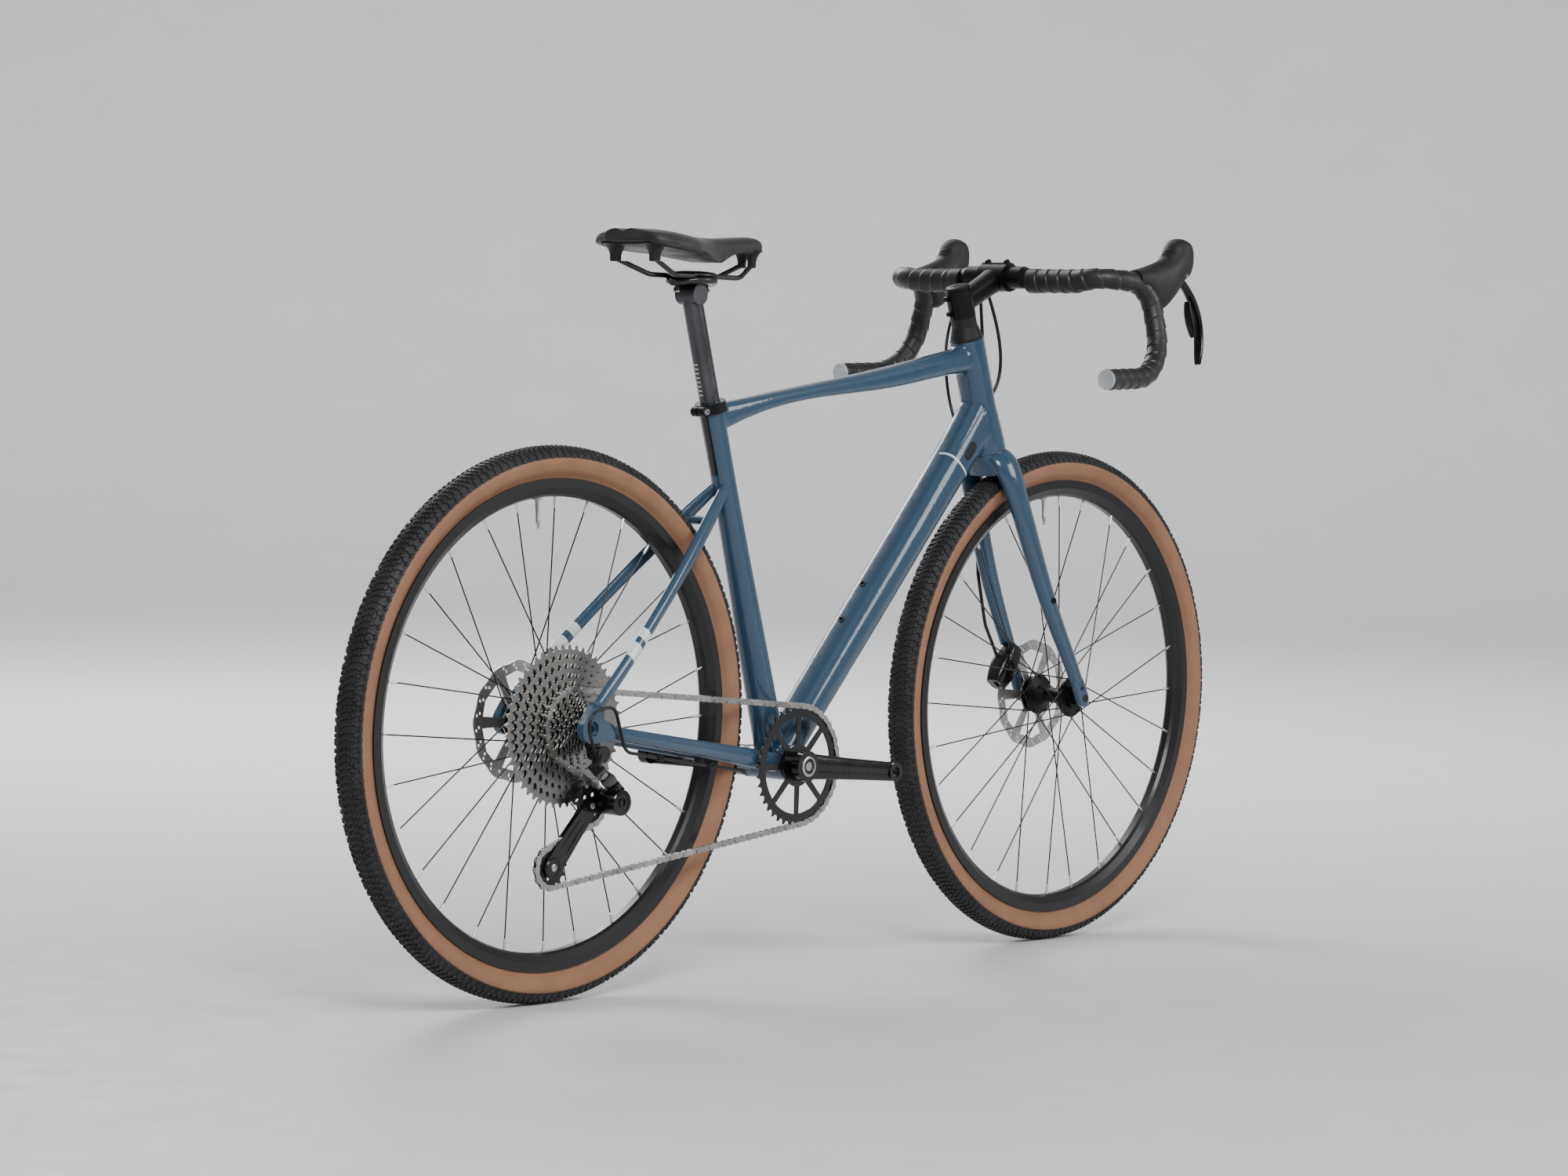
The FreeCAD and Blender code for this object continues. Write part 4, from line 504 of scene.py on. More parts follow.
def paint_finish(name, bands=()):
    """Gloss paint under a clear coat with a faint flake and peel; bands are (colour, slices)."""
    finish = Finish(name, coat=0.7, coat_roughness=0.04, specular=0.2)
    base = finish.mottled(colour("paint"), 0.03, 7.0)
    base = finish.mix(finish.grain(4200.0, 0.0, 0.06), base, shade(colour("paint"), 1.25))
    for tone, slices in bands:
        base = finish.mix(finish.within(slices), base, tone)
    finish.pebbled(420.0, 0.015, 0.0006)
    return finish.done(base, finish.grain(45.0, 0.22, 0.33))


def alloy_finish(name, tone, low, high, metallic=0.35, coat=0.0, grain=900.0):
    """Anodised or polished alloy: patchy tone, fine blasted grain and uneven gloss."""
    finish = Finish(name, metallic=metallic, coat=coat, coat_roughness=0.12, specular=0.25)
    finish.pebbled(grain, 0.06, 0.0004)
    return finish.done(finish.mottled(tone, 0.22, 26.0), finish.grain(70.0, low, high))


def post_finish(name, tone):
    """Satin grey post with a ladder of pale ticks up its back above the clamp."""
    pitch, filled, heights, breadth = 0.006, 0.28, (0.012, 0.060), (-0.002, 0.0045)
    finish = Finish(name, metallic=0.85)
    along = finish.use("band", Point=tuple(SEAT_TOP), Direction=tuple(SEAT_UP))["Along"]
    rung = math_node(finish.tree, "FRACT", math_node(finish.tree, "DIVIDE", along, pitch))
    tick = math_node(finish.tree, "LESS_THAN", rung, filled)
    ladder = finish.within([(SEAT_TOP, SEAT_UP, *heights), (SEAT_TOP, Y_AXIS, *breadth),
                            (SEAT_TOP, -SEAT_AHEAD, 0.0, 1.0)])
    mask = math_node(finish.tree, "MULTIPLY", tick, ladder)
    base = finish.mix(mask, finish.mottled(tone, 0.22, 26.0), colour("pale"))
    finish.pebbled(900.0, 0.06, 0.0004)
    return finish.done(base, finish.grain(70.0, 0.24, 0.34))


def wheel_finish(name, centre, tone, low, high, metallic, zones=(), coat=0.0, face=None):
    """Turned metal round a wheel's axis: zones are (inner radius, outer radius, colour) over the tone, with
    fine circles from turning in its gloss and bump; face is painted shade, the darker colour given to what
    lies square to the axis."""
    finish = Finish(name, metallic=metallic, coat=coat)
    base = finish.mottled(tone, 0.15, 40.0)
    # Painted shade: what lies square to the axis, such as a sprocket's face between its neighbours, takes the
    # darker face colour
    if face:
        parts = put(finish.tree, "SeparateXYZ", {0: put(finish.tree, "TexCoord").outputs["Normal"]})
        square = math_node(finish.tree, "ABSOLUTE", parts.outputs["Y"])
        base = finish.mix(edge_node(finish.tree, square, 0.85, 0.08, True), base, face)
    for inner, outer, other in zones:
        mask = finish.use("ring", Centre=tuple(centre), Inner=inner, Outer=outer)["Mask"]
        base = finish.mix(mask, base, other)
    radius = finish.use("ring", Centre=tuple(centre))["Radius"]
    lathe = finish.use("lathe", Radius=radius, Scale=1500.0, Low=low, High=high)
    finish.bump(lathe["Height"], 0.08, 0.0003)
    return finish.done(base, lathe["Value"])


def rubber_finish(name, tone, low, high, scale=900.0, depth=0.12, sheen=0.15):
    """Moulded rubber: dull, with a fine pebbled skin and paler dusty patches."""
    finish = Finish(name, specular=0.35, sheen=sheen)
    finish.pebbled(scale, depth, 0.0008)
    return finish.done(finish.mottled(tone, 0.3, 18.0), finish.grain(35.0, low, high))


def tyre_finish(name):
    """Black tread and tan sidewall by the mesh's own tread value, with a woven casing in the bump."""
    finish = Finish(name, specular=0.3)
    tread = finish.kept("tread")
    tan = finish.mix(finish.grain(700.0, 0.0, 0.35), finish.mottled(colour("tan"), 0.1, 30.0),
                     shade(colour("tan"), 0.62))
    base = finish.mix(tread, tan, finish.mottled(colour("tread"), 0.35, 22.0))
    weave = put(finish.tree, "UVMap", uv_map="weave").outputs[0]
    for turn in (0.7, -0.7):
        lean = put(finish.tree, "Mapping", {"Vector": weave, "Rotation": (0, 0, turn)})
        wave = put(finish.tree, "TexWave", {"Vector": lean.outputs[0], "Scale": 260.0})
        finish.bump(wave.outputs["Fac"], 0.05, 0.0003)
    wall_gloss, tread_gloss = finish.grain(60.0, 0.6, 0.75), finish.grain(90.0, 0.5, 0.72)
    return finish.done(base, finish.blend_value(tread, wall_gloss, tread_gloss))


def leather_finish(name, tone, seam_tone):
    """Saddle covering: small pebbled cells, a soft sheen, and a paler line along the seams by the seam
    value."""
    finish = Finish(name, specular=0.4, sheen=0.08)
    base = finish.mix(finish.kept("seam"), finish.mottled(tone, 0.25, 22.0), seam_tone)
    finish.cells(900.0, 0.18)
    return finish.done(base, finish.grain(60.0, 0.42, 0.6))


def tape_finish(name, tone):
    """Bar tape: soft black foam with a fine pricked pattern; by the edge value its edges are shinier, as
    worn, and painted lighter as a highlight.
    """
    finish = Finish(name, specular=0.5)
    edge = finish.kept("edge")
    # Painted highlight: the tape's overlap edges are painted lighter by the edge value
    base = finish.mix(edge, finish.mottled(tone, 0.3, 40.0), shade(tone, 2.2))
    finish.cells(620.0, 0.22)
    dull, worn = finish.grain(80.0, 0.42, 0.58), finish.grain(80.0, 0.3, 0.42)
    return finish.done(base, finish.blend_value(edge, dull, worn))


def finish_of(slot):
    """The finish that the pieces of a slot share, made when it is first asked for."""
    name, maker, *values = {
        "frame_paint": ("slate_paint", paint_finish),
        "black_alloy": ("satin_black_alloy", alloy_finish, colour("black"), 0.34, 0.5),
        "gloss_black": ("gloss_black_alloy", alloy_finish, JET, 0.18, 0.32, 0.2, 0.4),
        "steel": ("bolt_steel", alloy_finish, (0.42, 0.42, 0.41, 1), 0.25, 0.4, 1.0),
        "plastic": ("dark_plastic", rubber_finish, SOOT, 0.4, 0.55, 700.0, 0.08, 0.0)}[slot]
    return bpy.data.materials.get(name) or maker(name, *values)


def wear(material, *nodes):
    """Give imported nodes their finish."""
    for node in nodes:
        worn = frame["nodes"][node].data.materials
        worn.clear()
        worn.append(material)


def dress(thing, material, body, replaces=()):
    """Give a new piece its finish, the body that carries it and the nodes that it stands for."""
    thing.data.materials.append(material)
    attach(thing, body)
    if replaces:
        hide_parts(*replaces)


def fitted(name, groups, body, slot, replaces=()):
    """One piece from several ring stacks, in the finish of its slot."""
    dress(gathered(name, groups), finish_of(slot), body, replaces)


class BICYCLE_OT_groups(bpy.types.Operator):
    """Build the shader groups that the finishes share"""
    bl_idname = "bicycle.groups"
    bl_label = "Shader groups"

    def execute(self, context):
        make_groups()
        return {"FINISHED"}


class BICYCLE_OT_frame_paint(bpy.types.Operator):
    """Paint the frame and fork, with pale bands and a dark panel behind the seat tube"""
    bl_idname = "bicycle.frame_paint"
    bl_label = "Frame paint"

    # Along each tube from its foot: where the stripe and the bands begin and end
    STRIPE, STRIPE_LEAN = (0.5385, 0.5418), 0.10
    STAY_BANDS = ((0.093, 0.117), (0.127, 0.143))
    PANEL_LENGTH, PANEL_HALF_WIDTH = 0.098, 0.0065

    def execute(self, context):
        wear(finish_of("frame_paint"), "head_tube", "bb_shell", "top_tube", "dropouts", "chainstay_right",
             "chainstay_left", "stay_bridges", "fork_crown", "fork_leg_right", "fork_leg_left")
        pale = colour("pale")
        stripe = (CRANK, unit(unit(DOWN_RUN) + self.STRIPE_LEAN * Y_AXIS), *self.STRIPE)
        right = (CRANK, -Y_AXIS, 0.0, 1.0)
        wear(paint_finish("slate_paint_down_tube", [(pale, [stripe, right])]), "down_tube")
        panel = [(SEAT_TOP, -SEAT_UP, 0.0, self.PANEL_LENGTH), (SEAT_TOP, -SEAT_AHEAD, 0.0, 1.0),
                 (SEAT_TOP, Y_AXIS, -self.PANEL_HALF_WIDTH, self.PANEL_HALF_WIDTH)]
        wear(paint_finish("slate_paint_seat_tube", [(JET, panel)]), "seat_tube")
        stay_top = CRANK + SEAT_UP * 0.394 + np.array([-0.002, 0, 0.004])
        stay_foot = REAR + np.array([0.008, 0, 0.024])
        slope = unit(stay_top - stay_foot)
        bands = [(pale, [(stay_foot, slope, low, high)]) for low, high in self.STAY_BANDS]
        wear(paint_finish("slate_paint_stays", bands), "seatstay_right", "seatstay_left")
        return {"FINISHED"}


class BICYCLE_OT_metal(bpy.types.Operator):
    """Finish the alloy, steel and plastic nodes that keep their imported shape"""
    bl_idname = "bicycle.metal"
    bl_label = "Metal and plastic"

    def execute(self, context):
        wear(finish_of("black_alloy"), "front_hub", "rear_hub", "front_axle", "rear_axle", "bottle_bosses",
             "derailleur_hanger", "seat_clamp", "headset_cups", "bb_cups", "stem", "handlebar")
        wear(finish_of("gloss_black"), "front_caliper", "rear_caliper", "chainring", "crank_arm_right",
             "crank_arm_left", "derailleur_cage", "derailleur_link", "derailleur_knuckle", "derailleur_body",
             "lever_right", "lever_left", "shift_paddle")
        wear(finish_of("plastic"), "headset_cover", "guide_pulley", "tension_pulley")
        wear(post_finish("satin_grey_post", (0.075, 0.075, 0.080, 1)), "seatpost")
        wear(alloy_finish("dark_rail_steel", (0.05, 0.05, 0.052, 1), 0.25, 0.4, 0.9), "saddle_rails")
        wear(rubber_finish("hose_jacket", (0.005, 0.005, 0.005, 1), 0.3, 0.45, 1400.0, 0.05, 0.0),
             "front_brake_hose", "rear_cables", "bar_hoses")
        wear(alloy_finish("chain_steel", (0.36, 0.352, 0.337, 1), 0.22, 0.38, 1.0, 0.0, 1500.0), "chain")
        steel = colour("steel")
        # Painted shade on the cassette: the middle within 19 mm and the sprockets' faces are darkened where
        # shade falls between the sprockets, and the teeth keep the bright steel
        wear(wheel_finish("sprocket_steel", REAR, steel, 0.22, 0.4, 1.0, [(0, 0.019, (0.2, 0.2, 0.2, 1))],
                          face=(0.24, 0.235, 0.225, 1)), "cassette")
        carrier, spoke, nipple = (0.012, 0.012, 0.013, 1), (0.035, 0.035, 0.037, 1), (0.75, 0.74, 0.72, 1)
        for end, centre in WHEELS:
            wear(wheel_finish("satin_rim_" + end, centre, colour("black"), 0.28, 0.46, 0.3, coat=0.15),
                 end + "_rim")
            wear(wheel_finish("brake_disc_" + end, centre, steel, 0.22, 0.36, 0.9, [(0, 0.024, carrier)]),
                 end + "_rotor")
            wear(wheel_finish("spoke_steel_" + end, centre, spoke, 0.22, 0.35, 0.9, [(0.2795, 1, nipple)]),
                 end + "_spokes")
        return {"FINISHED"}


class BICYCLE_OT_tyres(bpy.types.Operator):
    """Make both tyres: casing with tan walls and a knobbed tread"""
    bl_idname = "bicycle.tyres"
    bl_label = "Tyres"

    BEAD, HEIGHT, WEAVE_RADIUS = 0.318, 0.042, 0.35
    # Distances from the tread's middle where the black ends and where the casing rises to the wall
    TREAD_EDGE, SINK_EDGE = (0.0298, 0.0306), (0.026, 0.033)
    # Share of the height over the bead and half width there
    SECTION = ((0.0, 0.0124), (0.06, 0.0133), (0.24, 0.0200), (0.5, 0.0230), (0.72, 0.0216), (0.88, 0.0166),
               (0.97, 0.0087), (1.0, 0.0))
    # Row's distance from the tread's middle, knob radius, its width over its length, spacing over the pitch
    ROWS = ((0.0, 0.0026, 1.0, 1.0), (0.0058, 0.0025, 1.0, 1.0), (0.0114, 0.0025, 1.05, 1.0),
            (0.0168, 0.0027, 1.15, 1.1), (0.0222, 0.0032, 1.3, 1.45), (0.0280, 0.0026, 1.2, 1.45))
    # A knob's foot and crown over its radius, and how far the foot is sunk
    KNOB_FOOT, KNOB_CROWN, KNOB_SUNK = 1.18, 0.86, 0.0004
    # Past the shoulder the knobs are lower; a crown lies a little under the full height
    SHOULDER, SHOULDER_HEIGHT, CROWN_HEIGHT = 0.02, 0.9, 0.98

    def section(self, count):
        """Lateral and radial coordinates across the tyre, right bead to left bead, evenly spaced."""
        half = np.array([(y, self.BEAD + t * self.HEIGHT, 0) for t, y in self.SECTION])
        full = np.concatenate([half * [-1, 1, 1], half[-2::-1]])
        return even(through(full, 400), count)

    def knobs(self, section, length, centre):
        """Frustums standing on the section along rows round the wheel: the base ring is a little wider than
        the top, each turned to the surface's normal. Returns points and faces."""
        run = np.linspace(-length / 2, length / 2, len(section))
        sides, height = sizes().knob_sides, sizes().knob_height
        angle = (np.arange(sides)[:, None] + 0.5) * 2 * math.pi / sides
        slope = unit(np.gradient(section, axis=0))
        j = np.arange(sides)
        after = (j + 1) % sides
        points, faces, first = [], [], 0
        for number, (arc, radius, wide, spacing) in enumerate(self.ROWS):
            for side in ((1,) if arc == 0 else (1, -1)):
                y, r = (np.interp(side * arc, run, section[:, k]) for k in (0, 1))
                dy, dr = (np.interp(side * arc, run, slope[:, k]) for k in (0, 1))
                count = int(round(2 * math.pi * r / (sizes().knob_pitch * spacing)))
                turn = (np.arange(count) + 0.5 * (number % 2) + 0.25 * (side < 0)) * 2 * math.pi / count
                out, along = wheel_way(turn), wheel_way(turn + math.pi / 2)
                across, normal = dr * out + dy * Y_AXIS, dy * out - dr * Y_AXIS
                foot = centre + r * out + y * Y_AXIS - normal * height
                ring = radius * (np.cos(angle) * along[:, None] + np.sin(angle) * across[:, None] * wide)
                tall = height * (1.0 if arc < self.SHOULDER else self.SHOULDER_HEIGHT)
                levels = ((self.KNOB_FOOT, -self.KNOB_SUNK), (self.KNOB_CROWN, tall * self.CROWN_HEIGHT))
                rings = [foot[:, None] + ring * scale + normal[:, None] * lift for scale, lift in levels]
                points.append(np.concatenate(rings, 1).reshape(-1, 3))
                low = first + np.arange(count)[:, None] * 2 * sides
                top = low + sides
                walls = np.stack([low + j, low + after, top + after, top + j], -1).reshape(-1, 4)
                outward = np.cross(along[0], across[0]) @ normal[0] > 0
                for more in (walls, top + j):
                    faces += (more if outward else more[:, ::-1]).tolist()
                first += count * 2 * sides
        return np.concatenate(points), faces

    def execute(self, context):
        finish = tyre_finish("tyre_rubber")
        section, length = self.section(64)
        rows, columns = len(section), 288
        run = np.abs(np.linspace(-length / 2, length / 2, rows))
        tread = 1 - ramp(run, *self.TREAD_EDGE)
        slope = unit(np.gradient(section, axis=0))
        depth = sizes().knob_height * (1 - ramp(run, *self.SINK_EDGE))
        sunk = section[:, :2] - np.stack([-slope[:, 1], slope[:, 0]], 1) * depth[:, None]
        turn = turns(columns)
        casing = sunk[:, 1, None, None] * wheel_way(turn) + sunk[:, 0, None, None] * Y_AXIS
        across = np.linspace(0, length, rows)
        weave = np.stack([np.tile(turn * self.WEAVE_RADIUS, rows), np.repeat(across, columns)], -1)
        for end, centre in WHEELS:
            points, faces = skinned(centre + casing, loop=True)
            more, sides = self.knobs(section, length, centre)
            faces = faces + [[corner + len(points) for corner in face] for face in sides]
            thing = piece(end + "_tyre_tread", np.concatenate([points, more]), faces, 30)
            mark(thing, "tread", np.concatenate([np.repeat(tread, columns), np.ones(len(more))]))
            uv = thing.data.uv_layers.new(name="weave")
            corner = np.zeros(len(thing.data.loops), np.int64)
            thing.data.loops.foreach_get("vertex_index", corner)
            flat = np.concatenate([weave, np.zeros((len(more), 2))])
            uv.data.foreach_set("uv", flat[corner].ravel())
            dress(thing, finish, end + "_wheel", (end + "_tyre",))
        return {"FINISHED"}


class BICYCLE_OT_valves(bpy.types.Operator):
    """Make the tyre valves that stand out of the rims"""
    bl_idname = "bicycle.valves"
    bl_label = "Valves"

    SEAT = 0.2945
    PROFILE = ((0.0005, -0.041), (0.0019, -0.0405), (0.0022, -0.034), (0.0030, -0.0335), (0.0030, -0.027),
               (0.0026, -0.0262), (0.0026, -0.0035), (0.0058, -0.003), (0.0058, 0.0012))

    def execute(self, context):
        for (end, centre), degrees in zip(WHEELS, (97.0, 96.0)):
            out = wheel_way(math.radians(degrees))
            stem = turned(self.PROFILE, centre + out * self.SEAT, out, 18)
            fitted(end + "_valve", [stem], end + "_wheel", "steel")
        return {"FINISHED"}


class BICYCLE_OT_bar_tape(bpy.types.Operator):
    """Wrap the bar in overlapping tape and close its ends with plugs"""
    bl_idname = "bicycle.bar_tape"
    bl_label = "Bar tape"

    # Radius over the bar, what the tops add to it and their drop, and the radius beside the stem
    THIN, THICKER, TOP_DROP, COLLAR = 0.0136, 0.0024, 0.0048, 0.0175
    # Distances from the tape's inner end over which the thick tops and the collar run out
    TOP_END, COLLAR_END = (0.075, 0.125), (0.016, 0.018)
    PLUG = ((0.0125, -0.004), (0.0142, 0.0), (0.0143, 0.0018), (0.0132, 0.0034), (0.0122, 0.0036),
            (0.0116, 0.0030), (0.0112, 0.0036), (0.004, 0.0039))

    def execute(self, context):
        """Round the bar at angle a and run s the tape stands r = r0 + step (s / pitch + a) mod 1, thicker and
        lower along the top of the bar."""
        finish = tape_finish("bar_tape_foam", SOOT)
        rows, columns = 620, 40
        share = np.linspace(0, 1, columns, endpoint=False)
        ends = []
        for name, side in SIDES:
            line, length = even(bar_line(side), rows)
            along = np.linspace(0, length, rows)
            thick = 1 - ramp(along, *self.TOP_END)
            line = line - thick[:, None] * Z_AXIS * self.TOP_DROP
            phase = (along[:, None] / sizes().tape_pitch + side * share) % 1.0
            step = phase * (1 - ramp(phase, 0.9, 1.0))
            radius = self.THIN + thick[:, None] * self.THICKER + sizes().tape_step * step
            collar = (1 - ramp(along, *self.COLLAR_END))[:, None]
            radius = radius * (1 - collar) + collar * self.COLLAR
            thing = gathered("bar_tape_" + name, [tube_rings(line, radius, columns)], 40)
            # The edge value marks the overlap edges for a painted highlight and a shinier gloss
            mark(thing, "edge", ramp(phase, 0.72, 0.9) * (1 - collar))
            dress(thing, finish, "steering", ("bar_tape",))
            ends.append(turned(self.PLUG, line[-1], line[-1] - line[-6], columns))
        plug = rubber_finish("pale_plug", colour("plug"), 0.4, 0.55, 500.0, 0.05, 0.0)
        dress(gathered("bar_plugs", ends), plug, "steering")
        return {"FINISHED"}


class BICYCLE_OT_hoods(bpy.types.Operator):
    """Stretch the rubber hoods from the bar's bend over the lever bodies up to their tall knobs"""
    bl_idname = "bicycle.hoods"
    bl_label = "Hoods"

    # Lower front edge (x, z), upper rear edge (x, z), half width and place outward, in mm from the bar
    SECTIONS = ((58, -9, 58, 13.5, 15.5, 201.5), (80, -18, 79, 18.5, 17.5, 202.5),
                (99, -40, 96, 23.5, 18.5, 203.5), (117, -40, 110, 28, 19.5, 204.5),
                (138, -23, 121, 33, 20.5, 205.5), (157, -1, 128.5, 39, 21.5, 206),
                (171, 9, 132.5, 45, 22, 206.3), (175.5, 25, 135.5, 51, 22, 206.5),
                (175.5, 41, 139, 56, 20.5, 206.5), (172, 52, 144, 60, 17, 206.5),
                (164, 59, 151, 62, 9, 206.5), (158.5, 61.8, 156.5, 62.2, 1.5, 206.5))
    # Sections between which the folds come and go
    FOLDS_COME, FOLDS_GO = (3.6, 4.6), (5.6, 6.6)
    PIN_RADIUS, PIN_HEIGHT, PIN_SUNK = 0.0026, 0.0016, 0.0008

    def execute(self, context):
        """Each section is a superellipse between its lower and upper edge: p = c + h sgn(cos a)|cos a|^n
        + w sgn(sin a)|sin a|^n, with small folds across the top where the knob rises."""
        finish = rubber_finish("hood_rubber", (0.009, 0.009, 0.0095, 1), 0.48, 0.62, 1100.0, 0.2, 0.0)
        rows, columns, squareness, fold_pitch, fold_height = 120, 56, 0.88, 0.4, 0.0006
        line = through(self.SECTIONS, rows) / 1000
        station = np.linspace(0, len(self.SECTIONS) - 1, rows)
        folds = ramp(station, *self.FOLDS_COME) * (1 - ramp(station, *self.FOLDS_GO))
        folds = folds * np.sin(2 * math.pi * station / fold_pitch) * fold_height
        c, s = np.cos(turns(columns)), np.sin(turns(columns))
        up, across = rounded(c, squareness), rounded(s, squareness)
        low, high = (np.stack([line[:, k], 0 * line[:, k], line[:, k + 1]], -1) for k in (0, 2))
        rise = unit(high - low)
        pins = []
        for name, side in SIDES:
            centre = BAR + (low + high) / 2 + side * line[:, 5, None] * Y_AXIS
            rings = centre[:, None] + up[None, :, None] * ((high - low) / 2)[:, None]
            rings = rings + (across[None] * line[:, 4, None])[..., None] * Y_AXIS
            rings = rings + (folds[:, None] * np.clip(c, 0, 1))[..., None] * rise[:, None]
            thing = gathered("hood_skin_" + name, [rings], 50)
            dress(thing, finish, "steering", ("hood_" + name,))
            outside = LEVER * [1, -side, 1] + Y_AXIS * side * 0.05
            hit = surface(thing.data).ray_cast(Vector(outside), Vector(-side * Y_AXIS))[0]
            foot = np.array(hit) - side * Y_AXIS * self.PIN_SUNK
            pins.append(socket_head(foot, side * Y_AXIS, self.PIN_RADIUS, self.PIN_HEIGHT))
        fitted("lever_pins", pins, "steering", "steel")
        return {"FINISHED"}


class BICYCLE_OT_saddle(bpy.types.Operator):
    """Make the padded saddle covering with its centre channel and seams, and the shell under its edge"""
    bl_idname = "bicycle.saddle"
    bl_label = "Saddle"

    LENGTH, WIDTH, DEPTH, POWER = 0.264, 0.146, 0.042, 0.8
    # From the post's head: back end, highest line and the lowest that the edge comes
    BACK, TOP, SILL = -0.135, 0.082, 0.046
    # Share of the length from the back, half width over the width, depth, and height over the top line in mm
    STATIONS = ((0.0, 0.22, 0.5, 0), (0.04, 0.4, 0.82, 0), (0.14, 0.5, 1.0, 0), (0.28, 0.475, 1.0, -3),
                (0.42, 0.35, 0.95, -6), (0.57, 0.225, 0.9, -6), (0.75, 0.165, 0.86, -4),
                (0.9, 0.135, 0.8, -2), (0.97, 0.1, 0.62, -4), (1.0, 0.05, 0.35, -8))
    # Share of the length and height of the edge over the sill
    SKIRT = ((0, 0.12, 0.3, 0.5, 0.6, 0.65, 0.7, 0.76, 0.9, 1),
             (0.020, 0.019, 0.013, 0.004, 0.0005, 0.0005, 0.008, 0.014, 0.015, 0.016))
    CHANNEL_WIDTH, CHANNEL_DEPTH, CHANNEL_END = 0.0085, 0.0042, (0.56, 0.8)
    # The cross seam's share of the length, how far it leans and its width, and the seams' depth
    SEAM_AT, SEAM_LEAN, SEAM_WIDTH, SEAM_DEPTH = 0.585, 0.045, 0.006, 0.0009
    # Share of the length and height share of the side seam, which ends near the cross seam
    RIM, RIM_WIDTH, RIM_END = ((0, 0.05, 0.3, 0.6), (0.42, 0.34, 0.24, 0.16)), 0.035, 0.6
    # The rail sockets: ahead of the post's head, apart from the middle, and radius
    SOCKETS, SOCKET_FOOT = ((-0.110, 0.0352, 0.0075), (0.108, 0.009, 0.0058)), 0.039

    def covering(self, rows, columns):
        """Sections along the length are superellipses |y/B|^n + |z/H|^n = 1 cut at the sill; the skin sinks
        along the centre channel and the seams. Returns shares of the length, points and seam values."""
        share = 0.5 - 0.5 * np.cos(np.linspace(0.0, math.pi, rows))
        smooth = through(self.STATIONS, 400)
        broad, tall, dip = (np.interp(share, smooth[:, 0], smooth[:, k]) for k in (1, 2, 3))
        x = POST_HEAD[0] + self.BACK + self.LENGTH * share
        top = POST_HEAD[2] + self.TOP + dip * 0.001
        rise = self.DEPTH * tall * 0.5
        middle = top - rise
        sill = POST_HEAD[2] + self.SILL + np.interp(share, *self.SKIRT)
        low = np.clip((middle - sill) / rise, 0.05, 0.97)
        under = np.arcsin(low ** (1 / self.POWER))[:, None]
        angle = -under + (math.pi + 2 * under) * np.linspace(0, 1, columns)
        c, s = np.cos(angle), np.sin(angle)
        y = self.WIDTH * broad[:, None] * rounded(c, self.POWER)
        z = middle[:, None] + rise[:, None] * rounded(s, self.POWER)
        up = (z - sill[:, None]) / np.maximum(top - sill, 0.001)[:, None]
        groove = np.exp(-(y / self.CHANNEL_WIDTH) ** 2) * (s > 0)
        groove = groove * (1 - ramp(share, *self.CHANNEL_END))[:, None]
        across = self.SEAM_AT + self.SEAM_LEAN * (1 - np.clip(up, 0, 1)) ** 1.5
        seam = np.exp(-((share[:, None] - across) / self.SEAM_WIDTH) ** 2)
        rim = np.interp(share, *self.RIM)[:, None]
        rim = np.exp(-((up - rim) / self.RIM_WIDTH) ** 2) * (share < self.RIM_END)[:, None]
        seam = np.maximum(seam, rim * (s < 0.9))
        points = np.stack([np.repeat(x[:, None], columns, 1), y, z], -1)
        normal = unit(np.cross(np.gradient(points, axis=0), np.gradient(points, axis=1)) + 1e-12)
        inside = POST_HEAD * [1, 0, 1] + Z_AXIS * 0.026
        normal *= np.sign((normal * (points - inside)).sum(-1))[..., None]
        sunk = groove * self.CHANNEL_DEPTH + seam * self.SEAM_DEPTH
        return share, points - normal * sunk[..., None], seam

    def execute(self, context):
        """The covering tucks in under its edge; the shell spans between its edges and holds the rails."""
        rows = 260
        share, points, seam = self.covering(rows, 120)
        tucked = points[:, [0, -1]] * [1, 0.93, 1] - Z_AXIS * 0.0012
        thing = gathered("saddle_covering", [np.concatenate([tucked[:, :1], points, tucked[:, 1:]], 1)], 50)
        bare = np.zeros((rows, 1))
        mark(thing, "seam", np.concatenate([bare, np.clip(seam * 1.2 - 0.25, 0, 1), bare], 1))
        finish = leather_finish("saddle_leather", (0.009, 0.0088, 0.0092, 1), (0.030, 0.029, 0.030, 1))
        dress(thing, finish, "saddle", ("saddle_cover",))
        edge = points[(share > 0.03) & (share < 0.97)][:, -1]
        half = np.abs(edge[:, 1]) * 0.9
        high, low = edge[:, 2] + 0.003, edge[:, 2] - 0.0035
        across = np.stack([-half, half, half * 0.9, -half * 0.9], 1)
        level = np.stack([high, high, low, low], 1)
        parts = [np.stack([np.repeat(edge[:, :1], 4, 1), across, level], -1)]
        for ahead, apart, wide in self.SOCKETS:
            for side in (-1, 1):
                foot = POST_HEAD + np.array([ahead, side * apart, self.SOCKET_FOOT])
                tall = float(np.interp(foot[0], edge[:, 0], edge[:, 2])) - foot[2] + 0.001
                flare = [(wide * 0.8, 0), (wide, 0.001), (wide, tall * 0.35), (wide * 1.25, tall * 0.6),
                         (wide * 1.8, tall * 0.85), (wide * 2.6, tall)]
                parts.append(turned(flare, foot, Z_AXIS, 24))
        fitted("saddle_shell", parts, "saddle", "plastic", ("saddle_base",))
        return {"FINISHED"}


